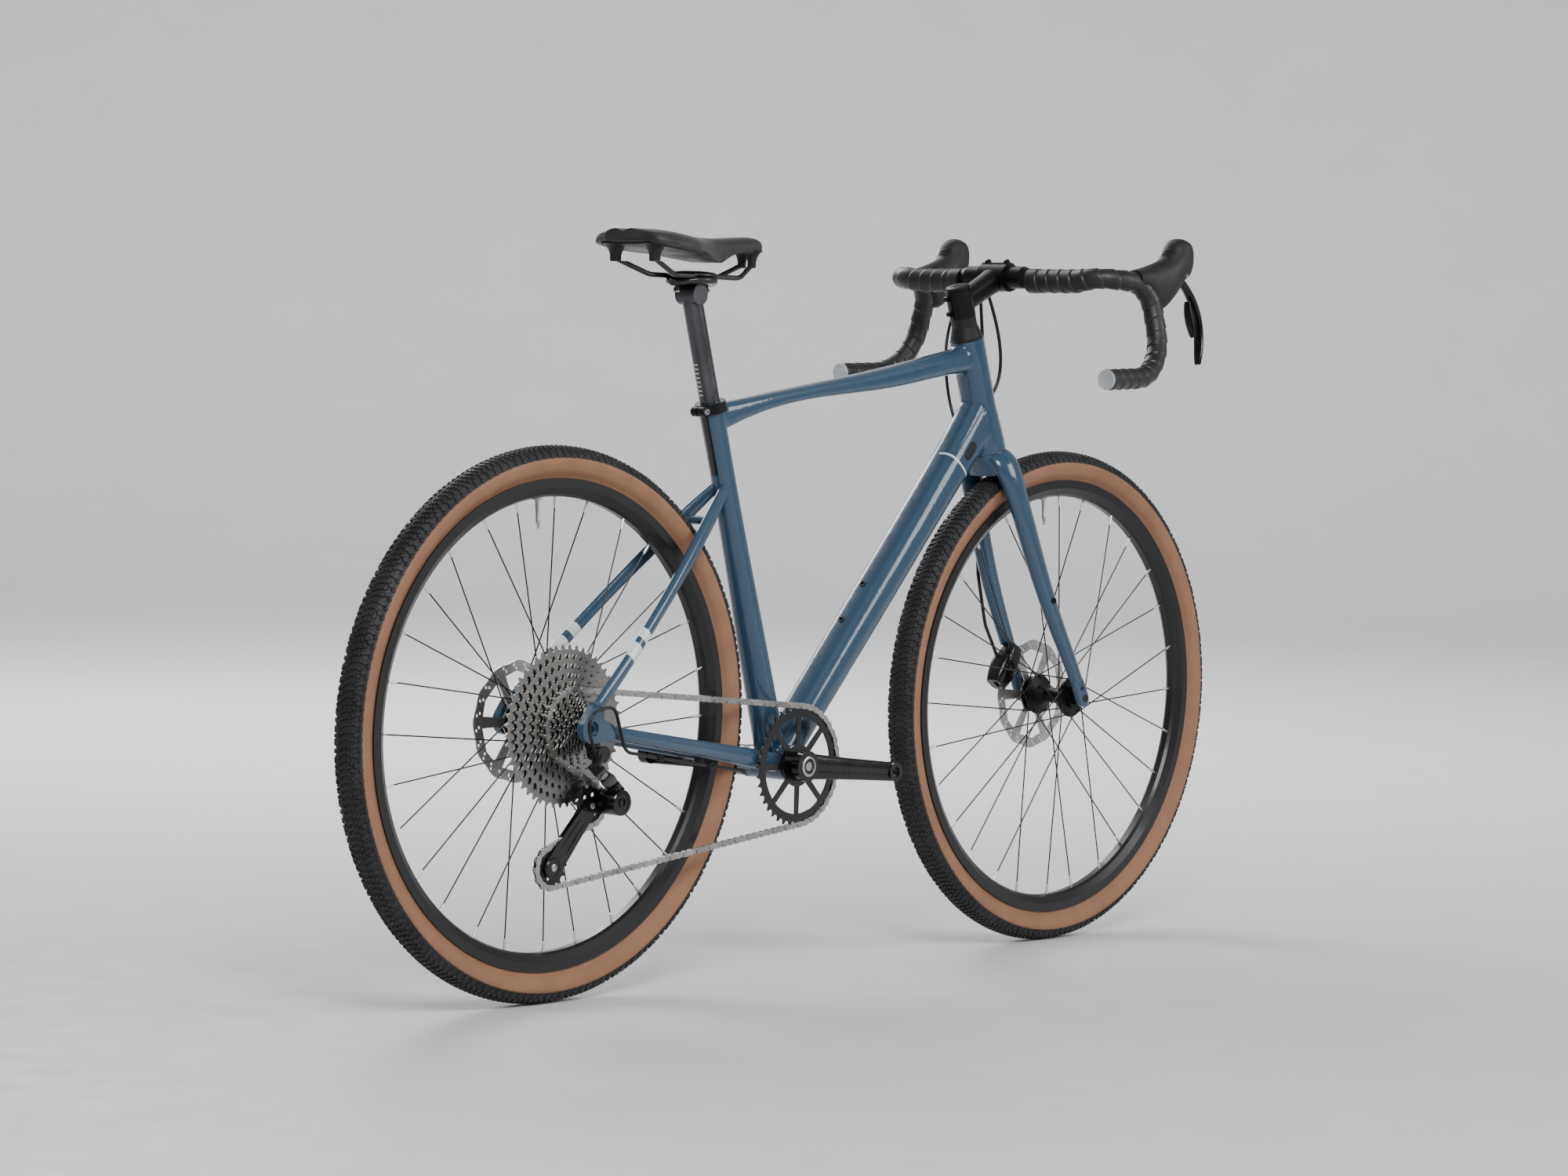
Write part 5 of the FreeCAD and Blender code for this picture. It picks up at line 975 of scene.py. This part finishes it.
class BICYCLE_OT_hoses(bpy.types.Operator):
    """Make the two hoses that loop from the bar into the frame"""
    bl_idname = "bicycle.hoses"
    bl_label = "Bar hoses"

    # Radius in metres and control points in mm from the bar
    ROUTES = (("bar_hose_front", 0.0025, ((12, 28, -18), (66, 24, -118), (8, 32, -206), (-40, 14, -232))),
              ("bar_hose_left", 0.0022, ((-8, 50, -17), (-70, 38, -64), (-64, 33, -190), (-62, 8, -226))))

    def execute(self, context):
        for name, radius, route in self.ROUTES:
            line, length = even(hose_line(BAR + np.array(route, float) / 1000), 90)
            thing = gathered(name, [tube_rings(line, radius)])
            thing.data.materials.append(bpy.data.materials["hose_jacket"])
            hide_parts("bar_hoses")
            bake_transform(thing)
        return {"FINISHED"}


class BICYCLE_OT_welds(bpy.types.Operator):
    """Fill the corners between the frame tubes with smooth painted welds"""
    bl_idname = "bicycle.welds"
    bl_label = "Welds"

    # How far along the branch the search starts and the rays begin, and how deep the weld's back lies
    SEARCH_FROM, RAY_FROM, SUNK = 0.055, 0.06, 0.0015

    def weld(self, branch, base, end, away, wide, deep, width):
        """Rings of a hollow fillet round a branch tube: at each angle M lies on both skins, A on the branch
        and B on the base, each a width from M, and the fillet is (1 - t)^2 A + 2 t (1 - t) M + t^2 B."""
        away = Vector(unit(away))
        side = Vector(Y_AXIS)
        up = side.cross(away)
        t = np.linspace(0, 1, 9)[:, None]
        rings = []
        for a in turns(96):
            out = side * (wide * math.cos(a)) + up * (deep * math.sin(a))
            meet = Vector(end) + out + away * self.SEARCH_FROM
            for _ in range(4):
                near, normal = branch.find_nearest(meet)[:2]
                meet = base.ray_cast(near + away * self.RAY_FROM + normal * 0.0002, -away)[0]
                if meet is None:
                    meet = base.find_nearest(near)[0]
            near, normal = branch.find_nearest(meet + away * width)[:2]
            far, outward = base.find_nearest(meet + normal * width)[:2]
            near, meet, far = (np.array(v) for v in (near, meet, far))
            curve = (1 - t) ** 2 * near + 2 * t * (1 - t) * meet + t * t * far
            back = meet - (np.array(normal) + np.array(outward)) * self.SUNK
            rings.append(np.concatenate([curve, back[None]]))
        return np.array(rings)

    def execute(self, context):
        top_seat = CRANK + SEAT_UP * 0.495 - Z_AXIS * 0.008
        top_run = TOP_HEAD - top_seat
        # The place where they meet, the branch's way, its half width and half depth, and the weld's width
        for branch, base, end, away, wide, deep, width in (
                ("top_tube", "head_tube", TOP_HEAD, -top_run, 0.0178, 0.020, 0.010),
                ("top_tube", "seat_tube", top_seat, top_run, 0.0122, 0.020, 0.009),
                ("down_tube", "head_tube", DOWN_HEAD, -DOWN_RUN, 0.0225, 0.035, 0.011),
                ("down_tube", "bb_shell", CRANK, DOWN_RUN, 0.0262, 0.0239, 0.008),
                ("seat_tube", "bb_shell", CRANK, SEAT_UP, 0.021, 0.021, 0.007)):
            rings = self.weld(skin(branch), skin(base), end, away, wide, deep, width)
            points, faces = skinned(rings, loop=True)
            thing = piece("weld_%s_%s" % (branch, base), points, faces, 60)
            dress(thing, finish_of("frame_paint"), "frame")
        return {"FINISHED"}


class BICYCLE_OT_fasteners(bpy.types.Operator):
    """Set the visible bolts and caps of the stem, cranks and seat"""
    bl_idname = "bicycle.fasteners"
    bl_label = "Fasteners"

    STEM_CLIMB, STEM_LENGTH = math.radians(26.0), 0.091
    # The stem's face bolts from the bar's middle: ahead, over and sideways; its back bolts over its line
    FACE_AHEAD, FACE_OVER, FACE_SIDE, BACK_OVER = 0.008, 0.0195, 0.017, 0.011
    CAP_HEIGHT, SPINDLE_END, SADDLE_BOLT_AHEAD = 0.6362, 0.0658, 0.029
    CAP = ((0.006, -0.001), (0.0165, 0.0), (0.0172, 0.001), (0.0172, 0.0042), (0.0158, 0.0052),
           (0.0055, 0.0054), (0.005, 0.003), (0.0008, 0.003))
    RING = ((0.0128, -0.002), (0.0140, 0.0), (0.0140, 0.0014), (0.0128, 0.0022), (0.0106, 0.0022),
            (0.0102, 0.0010))
    CORE = ((0.0104, -0.002), (0.0104, 0.0012), (0.0085, 0.0016), (0.0062, 0.0012), (0.0060, -0.0004),
            (0.0008, -0.0006))

    def execute(self, context):
        ahead = np.array([math.cos(self.STEM_CLIMB), 0, math.sin(self.STEM_CLIMB)])
        over = np.cross(ahead, Y_AXIS)
        face = BAR + ahead * self.FACE_AHEAD
        bolts = [socket_head(face + over * up + Y_AXIS * side, ahead, 0.0042, 0.0045)
                 for up in (self.FACE_OVER, -self.FACE_OVER) for side in (self.FACE_SIDE, -self.FACE_SIDE)]
        back = BAR - ahead * self.STEM_LENGTH - STEER_AHEAD * 0.0185 + Y_AXIS * 0.0065
        bolts += [socket_head(back + STEER_UP * up, Y_AXIS, 0.004, 0.005)
                  for up in (self.BACK_OVER, -self.BACK_OVER)]
        fitted("stem_bolts", bolts, "steering", "black_alloy")
        cap = turned(self.CAP, STEER_FOOT + STEER_UP * self.CAP_HEIGHT, STEER_UP, 40)
        fitted("steerer_cap", [cap], "steering", "black_alloy")
        spindle = CRANK - Y_AXIS * self.SPINDLE_END
        fitted("spindle_ring", [turned(self.RING, spindle, -Y_AXIS, 44)], "crankset", "steel")
        fitted("spindle_core", [turned(self.CORE, spindle, -Y_AXIS, 32)], "crankset", "gloss_black")
        clamp = SEAT_TOP - SEAT_UP * 0.007 - SEAT_AHEAD * 0.0225 - Y_AXIS * 0.0108
        fitted("seat_clamp_bolt", [socket_head(clamp, -Y_AXIS, 0.0042, 0.004)], "frame", "steel")
        saddle = [socket_head(POST_HEAD + np.array([x, 0, 0.0034]), -Z_AXIS, 0.0043, 0.0014)
                  for x in (-self.SADDLE_BOLT_AHEAD, self.SADDLE_BOLT_AHEAD)]
        fitted("saddle_clamp_bolts", saddle, "saddle", "steel")
        return {"FINISHED"}


class BICYCLE_OT_frame_fittings(bpy.types.Operator):
    """Set the cable port, the fork's ends, bosses and eyelets, a dark dish painted as the shade in the right
    axle end's recess, and the stops under the chainstay
    """
    bl_idname = "bicycle.frame_fittings"
    bl_label = "Frame fittings"

    # Share of the outline and height over the tube
    PORT = ((1.0, -0.0008), (1.0, 0.0009), (0.93, 0.0015), (0.78, 0.0015), (0.72, 0.0007), (0.05, 0.0007))
    # Height along the leg from the axle, half width and half thickness of the fork's ends
    TIP = ((-0.0130, 0.0012, 0.0052), (-0.0124, 0.0040, 0.0058), (-0.0105, 0.0070, 0.0061),
           (-0.0075, 0.0099, 0.00625), (-0.0040, 0.0117, 0.00625), (0.0, 0.0124, 0.00625),
           (0.012, 0.0122, 0.00625), (0.024, 0.0116, 0.0061), (0.034, 0.0100, 0.0054))
    STOP = ((0.0022, -0.0075), (0.0036, -0.007), (0.0040, -0.005), (0.0040, 0.005), (0.0036, 0.007),
            (0.0022, 0.0075))
    PORT_ALONG, PORT_HALF_LENGTH, PORT_HALF_WIDTH = 0.574, 0.0145, 0.0068
    LEG_RUN, LEG_MIDDLE, LEG_OUTSIDE = unit((-0.0785, 0, 0.1443)), 0.05635, 0.0626
    BOSS, EYELET_OVER, STOPS_BEHIND = np.array([0.4495, 0, 0.5043]), 0.0170, (0.185, 0.296)
    STAY_FOOT, STAY_RUN = np.array([-0.120, -0.047, -0.001]), unit((-0.180, -0.020, 0.027))

    def port(self, at, along):
        """Rings of a rounded plate laid on the down tube: each is a superellipse of power 4 whose points drop
        to the nearest skin and stand off it by the ring's height."""
        tube = skin("down_tube")
        long, broad = (rounded(f(turns(48)), 0.5)[:, None] for f in (np.cos, np.sin))
        outline = self.PORT_HALF_LENGTH * long * along
        outline = outline + self.PORT_HALF_WIDTH * broad * np.cross(along, Y_AXIS)
        rings = []
        for scale, height in self.PORT:
            near = [tube.find_nearest(Vector(at + step * scale))[:2] for step in outline]
            rings.append([np.array(hit) + np.array(normal) * height for hit, normal in near])
        return np.array(rings)

    def tip(self, side):
        """Rings of one fork end: across the leg's run each is a superellipse |x/w|^3 + |y/t|^3 = 1, closing
        in a half circle below the axle."""
        wide, deep = (rounded(f(turns(44)), 2 / 3)[:, None] for f in (np.cos, np.sin))
        ahead = np.cross(Y_AXIS, self.LEG_RUN)
        centre = FRONT + side * Y_AXIS * self.LEG_MIDDLE
        return np.array([centre + self.LEG_RUN * h + wide * w * ahead + deep * t * Y_AXIS
                         for h, w, t in through(self.TIP, 40)])

    def execute(self, context):
        down = unit(DOWN_RUN)
        at = seated("down_tube", CRANK + down * self.PORT_ALONG - Y_AXIS * 0.03, Y_AXIS)
        fitted("cable_port", [self.port(at, down)], "frame", "plastic")
        bosses, tips, eyelets_and_axle_recess_shade = [], [], []
        for name, side in SIDES:
            out = side * Y_AXIS
            boss = seated("fork_leg_" + name, self.BOSS, -out)
            bosses.append(socket_head(boss, out, 0.0046, 0.0022))
            tips.append(self.tip(side))
            eyelet = FRONT + out * self.LEG_OUTSIDE + self.LEG_RUN * self.EYELET_OVER
            eyelets_and_axle_recess_shade.append(socket_head(eyelet, out, 0.0034, 0.0008, 0.7))
        # Painted shade: a dark dish on the right fork end stands for the shade inside the axle's recess
        eyelets_and_axle_recess_shade.append(socket_head(FRONT - Y_AXIS * self.LEG_OUTSIDE, -Y_AXIS, 0.0056, 0.0008, 0.8))
        fitted("fork_ends", tips, "steering", "frame_paint")
        fitted("fork_bosses", bosses, "steering", "black_alloy")
        fitted("fork_eyelets", eyelets_and_axle_recess_shade, "steering", "plastic")
        stops = []
        for behind in self.STOPS_BEHIND:
            run = self.STAY_RUN * ((behind + self.STAY_FOOT[0]) / -self.STAY_RUN[0])
            stops.append(turned(self.STOP, CRANK + self.STAY_FOOT + run, self.STAY_RUN, 24))
        fitted("housing_stops", stops, "frame", "black_alloy")
        return {"FINISHED"}


class BICYCLE_OT_derailleur_trim(bpy.types.Operator):
    """Set the caps, pins and ribs of the derailleur"""
    bl_idname = "bicycle.derailleur_trim"
    bl_label = "Derailleur trim"

    DRUM = ((0.0168, -0.001), (0.0168, 0.0008), (0.0155, 0.0022), (0.0112, 0.0026), (0.0108, 0.0016),
            (0.0072, 0.0016), (0.0068, 0.0030), (0.0042, 0.0032), (0.0038, 0.0012), (0.0006, 0.0012))
    RING = ((0.0128, -0.0008), (0.0132, 0.0004), (0.0124, 0.0013), (0.0104, 0.0013), (0.0098, 0.0003))
    PIN_OUT, COVER_OUT, COVER_HALF_WIDTH, COVER_HALF_DEPTH = 0.0089, 0.0052, 0.0100, 0.0034
    RIB_RADIUS, RIB_APART = 0.0013, 0.0052

    def cover(self, start, run, axis):
        """Rings of the link's cover plate: along the run each is a superellipse whose size swells with
        sin(s)^0.35 towards the middle."""
        c, s = (rounded(f(turns(24)), 0.6)[:, None] for f in (np.cos, np.sin))
        swell = np.sin(np.linspace(0.5, math.pi - 0.5, 20))[:, None, None] ** 0.35
        spine = start + np.linspace(0.24, 0.76, 20)[:, None] * run
        wide = c * self.COVER_HALF_WIDTH * unit(np.cross(axis, run))
        return spine[:, None] + swell * (wide + s * self.COVER_HALF_DEPTH * axis)

    def execute(self, context):
        cap = seated("derailleur_body", place("derailleur_cage_swing"), Y_AXIS)
        drum = turned(self.DRUM, cap, -Y_AXIS, 44)
        hang, body_end = place("derailleur_link_swing"), place("derailleur_body_swing")
        axis = axis_of("derailleur_link_swing")
        out = axis if axis[1] < 0 else -axis
        hang_pin, body_pin = (socket_head(at + out * self.PIN_OUT, out, 0.0048, 0.0016)
                              for at in (hang, body_end))
        fitted("derailleur_body_cap", [drum, body_pin], "derailleur_body", "gloss_black")
        fitted("derailleur_hang_pin", [hang_pin], "frame", "steel")
        cover = self.cover(hang + out * self.COVER_OUT, body_end - hang, axis)
        fitted("link_cover", [cover], "derailleur_link", "gloss_black")
        guide, tension = place("guide_pulley_spin"), place("tension_pulley_spin")
        bolts = [socket_head(seated("derailleur_cage", at, Y_AXIS), -Y_AXIS, radius, 0.0016)
                 for at, radius in ((guide, 0.0042), (tension, 0.0048))]
        fitted("cage_bolts", bolts, "derailleur_cage", "steel")
        run = tension - guide
        side = unit(np.cross(run, Y_AXIS))
        swell = self.RIB_RADIUS * np.sin(np.linspace(0.12, math.pi - 0.12, 24)) ** 0.4
        trim = []
        for across in (-self.RIB_APART, self.RIB_APART):
            spots = [seated("derailleur_cage", guide + run * s + side * across * (0.8 + 0.4 * s), Y_AXIS)
                     for s in np.linspace(0.26, 0.74, 24)]
            trim.append(tube_rings(np.array(spots), swell, 10))
        beside = unit(run) * 0.007
        foot = seated("derailleur_cage", tension + beside, Y_AXIS) - beside
        trim.append(turned(self.RING, foot, -Y_AXIS, 40))
        fitted("cage_ribs", trim, "derailleur_cage", "gloss_black")
        return {"FINISHED"}


class BICYCLE_OT_stage(bpy.types.Operator):
    """Lay the pale floor, hang the soft lights and set the camera"""
    bl_idname = "bicycle.stage"
    bl_label = "Studio"

    FLOOR_RADIUS, FLAT_RADIUS, WALL_HEIGHT = 18.0, 8.5, 9.0
    # Name, place, aim, width in metres and power in watts
    LIGHTS = (("key_light", (-3.2, -3.6, 4.0), (0, 0, 0.5), 2.2, 300),
              ("side_light", (2.6, -4.4, 2.4), (0.1, 0, 0.5), 2.2, 130),
              ("back_light", (1.5, 4.2, 3.6), (0, 0, 0.6), 2.6, 200),
              ("wall_light", (2.0, 2.2, 6.5), (8.5, 7.5, 2.5), 4.0, 900))
    SKY, SKY_STRENGTH = (0.86, 0.88, 0.92, 1), 0.45
    # The camera fitted to the photo: lens in mm, place in metres, and yaw, pitch and roll in degrees
    LENS, CAMERA_AT, CAMERA_TURN = 96.62, (-4.383, -3.788, 0.805), (-48.67, 2.76, 1.70)

    def floor(self):
        """A flat disc that rises round its edge as z = h ramp(r)^1.4."""
        rows, columns = 80, 96
        reach = np.linspace(0.0, 1.0, rows)[:, None] ** 1.8 * self.FLOOR_RADIUS + 0.001
        turn = turns(columns)
        rise = self.WALL_HEIGHT * ramp(reach, self.FLAT_RADIUS, self.FLOOR_RADIUS) ** 1.4
        grid = np.stack([reach * np.cos(turn), reach * np.sin(turn), np.repeat(rise, columns, 1)], -1)
        floor = piece("studio_floor", grid.reshape(-1, 3), grid_faces(rows, columns)[:, ::-1], 180)
        finish = Finish("studio_floor_paint", specular=0.3)
        base = finish.mottled(colour("floor"), 0.015, 3.0)
        floor.data.materials.append(finish.done(base, finish.grain(14.0, 0.5, 0.7)))

    def execute(self, context):
        scene = bpy.context.scene
        self.floor()
        for name, at, aim, width, watts in self.LIGHTS:
            data = bpy.data.lights.new(name, "AREA")
            data.size = width
            data.energy = watts
            lamp = bpy.data.objects.new(name, data)
            lamp.location = at
            lamp.rotation_euler = (Vector(aim) - Vector(at)).to_track_quat("-Z", "Y").to_euler()
            scene.collection.objects.link(lamp)
        world = bpy.data.worlds.new("studio_world")
        world.use_nodes = True
        sky = world.node_tree.nodes["Background"].inputs
        sky["Color"].default_value = self.SKY
        sky["Strength"].default_value = self.SKY_STRENGTH
        scene.world = world
        data = bpy.data.cameras.new("camera")
        data.sensor_width = 36.0
        data.lens = self.LENS
        yaw, pitch, roll = (math.radians(v) for v in self.CAMERA_TURN)
        away = Vector((math.sin(yaw) * math.cos(pitch), -math.cos(yaw) * math.cos(pitch), math.sin(pitch)))
        right = Vector(Z_AXIS).cross(away).normalized()
        up = away.cross(right)
        level = right * math.cos(roll) + up * math.sin(roll)
        upright = up * math.cos(roll) - right * math.sin(roll)
        camera = bpy.data.objects.new("camera", data)
        turn = Matrix((level, upright, away)).transposed().to_4x4()
        camera.matrix_world = Matrix.Translation(self.CAMERA_AT) @ turn
        scene.collection.objects.link(camera)
        scene.camera = camera
        return {"FINISHED"}


class BICYCLE_PT_panel(bpy.types.Panel):
    """List the sizes, the colours and the steps in the sidebar"""
    bl_idname = "BICYCLE_PT_panel"
    bl_label = "Bicycle"
    bl_space_type = "VIEW_3D"
    bl_region_type = "UI"
    bl_category = "Bicycle"

    def draw(self, context):
        settings = context.scene.bicycle
        for held in (settings.sizes, settings.colours):
            for name in held.bl_rna.properties.keys():
                if name not in ("rna_type", "name"):
                    self.layout.prop(held, name)
        for operator in OPERATORS:
            self.layout.operator(operator.bl_idname)


OPERATORS = (BICYCLE_OT_groups, BICYCLE_OT_stage, BICYCLE_OT_frame_paint, BICYCLE_OT_metal, BICYCLE_OT_hoses,
             BICYCLE_OT_tyres, BICYCLE_OT_valves, BICYCLE_OT_bar_tape, BICYCLE_OT_hoods, BICYCLE_OT_saddle,
             BICYCLE_OT_welds, BICYCLE_OT_fasteners, BICYCLE_OT_frame_fittings, BICYCLE_OT_derailleur_trim)
CLASSES = (BicycleSizes, BicycleColours, BicycleSettings) + OPERATORS + (BICYCLE_PT_panel,)


def register():
    for item in CLASSES:
        bpy.utils.register_class(item)
    bpy.types.Scene.bicycle = PointerProperty(type=BicycleSettings)


def unregister():
    del bpy.types.Scene.bicycle
    for item in reversed(CLASSES):
        bpy.utils.unregister_class(item)


def main():
    register()
    for operator in OPERATORS:
        area, name = operator.bl_idname.split(".")
        getattr(getattr(bpy.ops, area), name)()


if __name__ == "__main__":
    main()
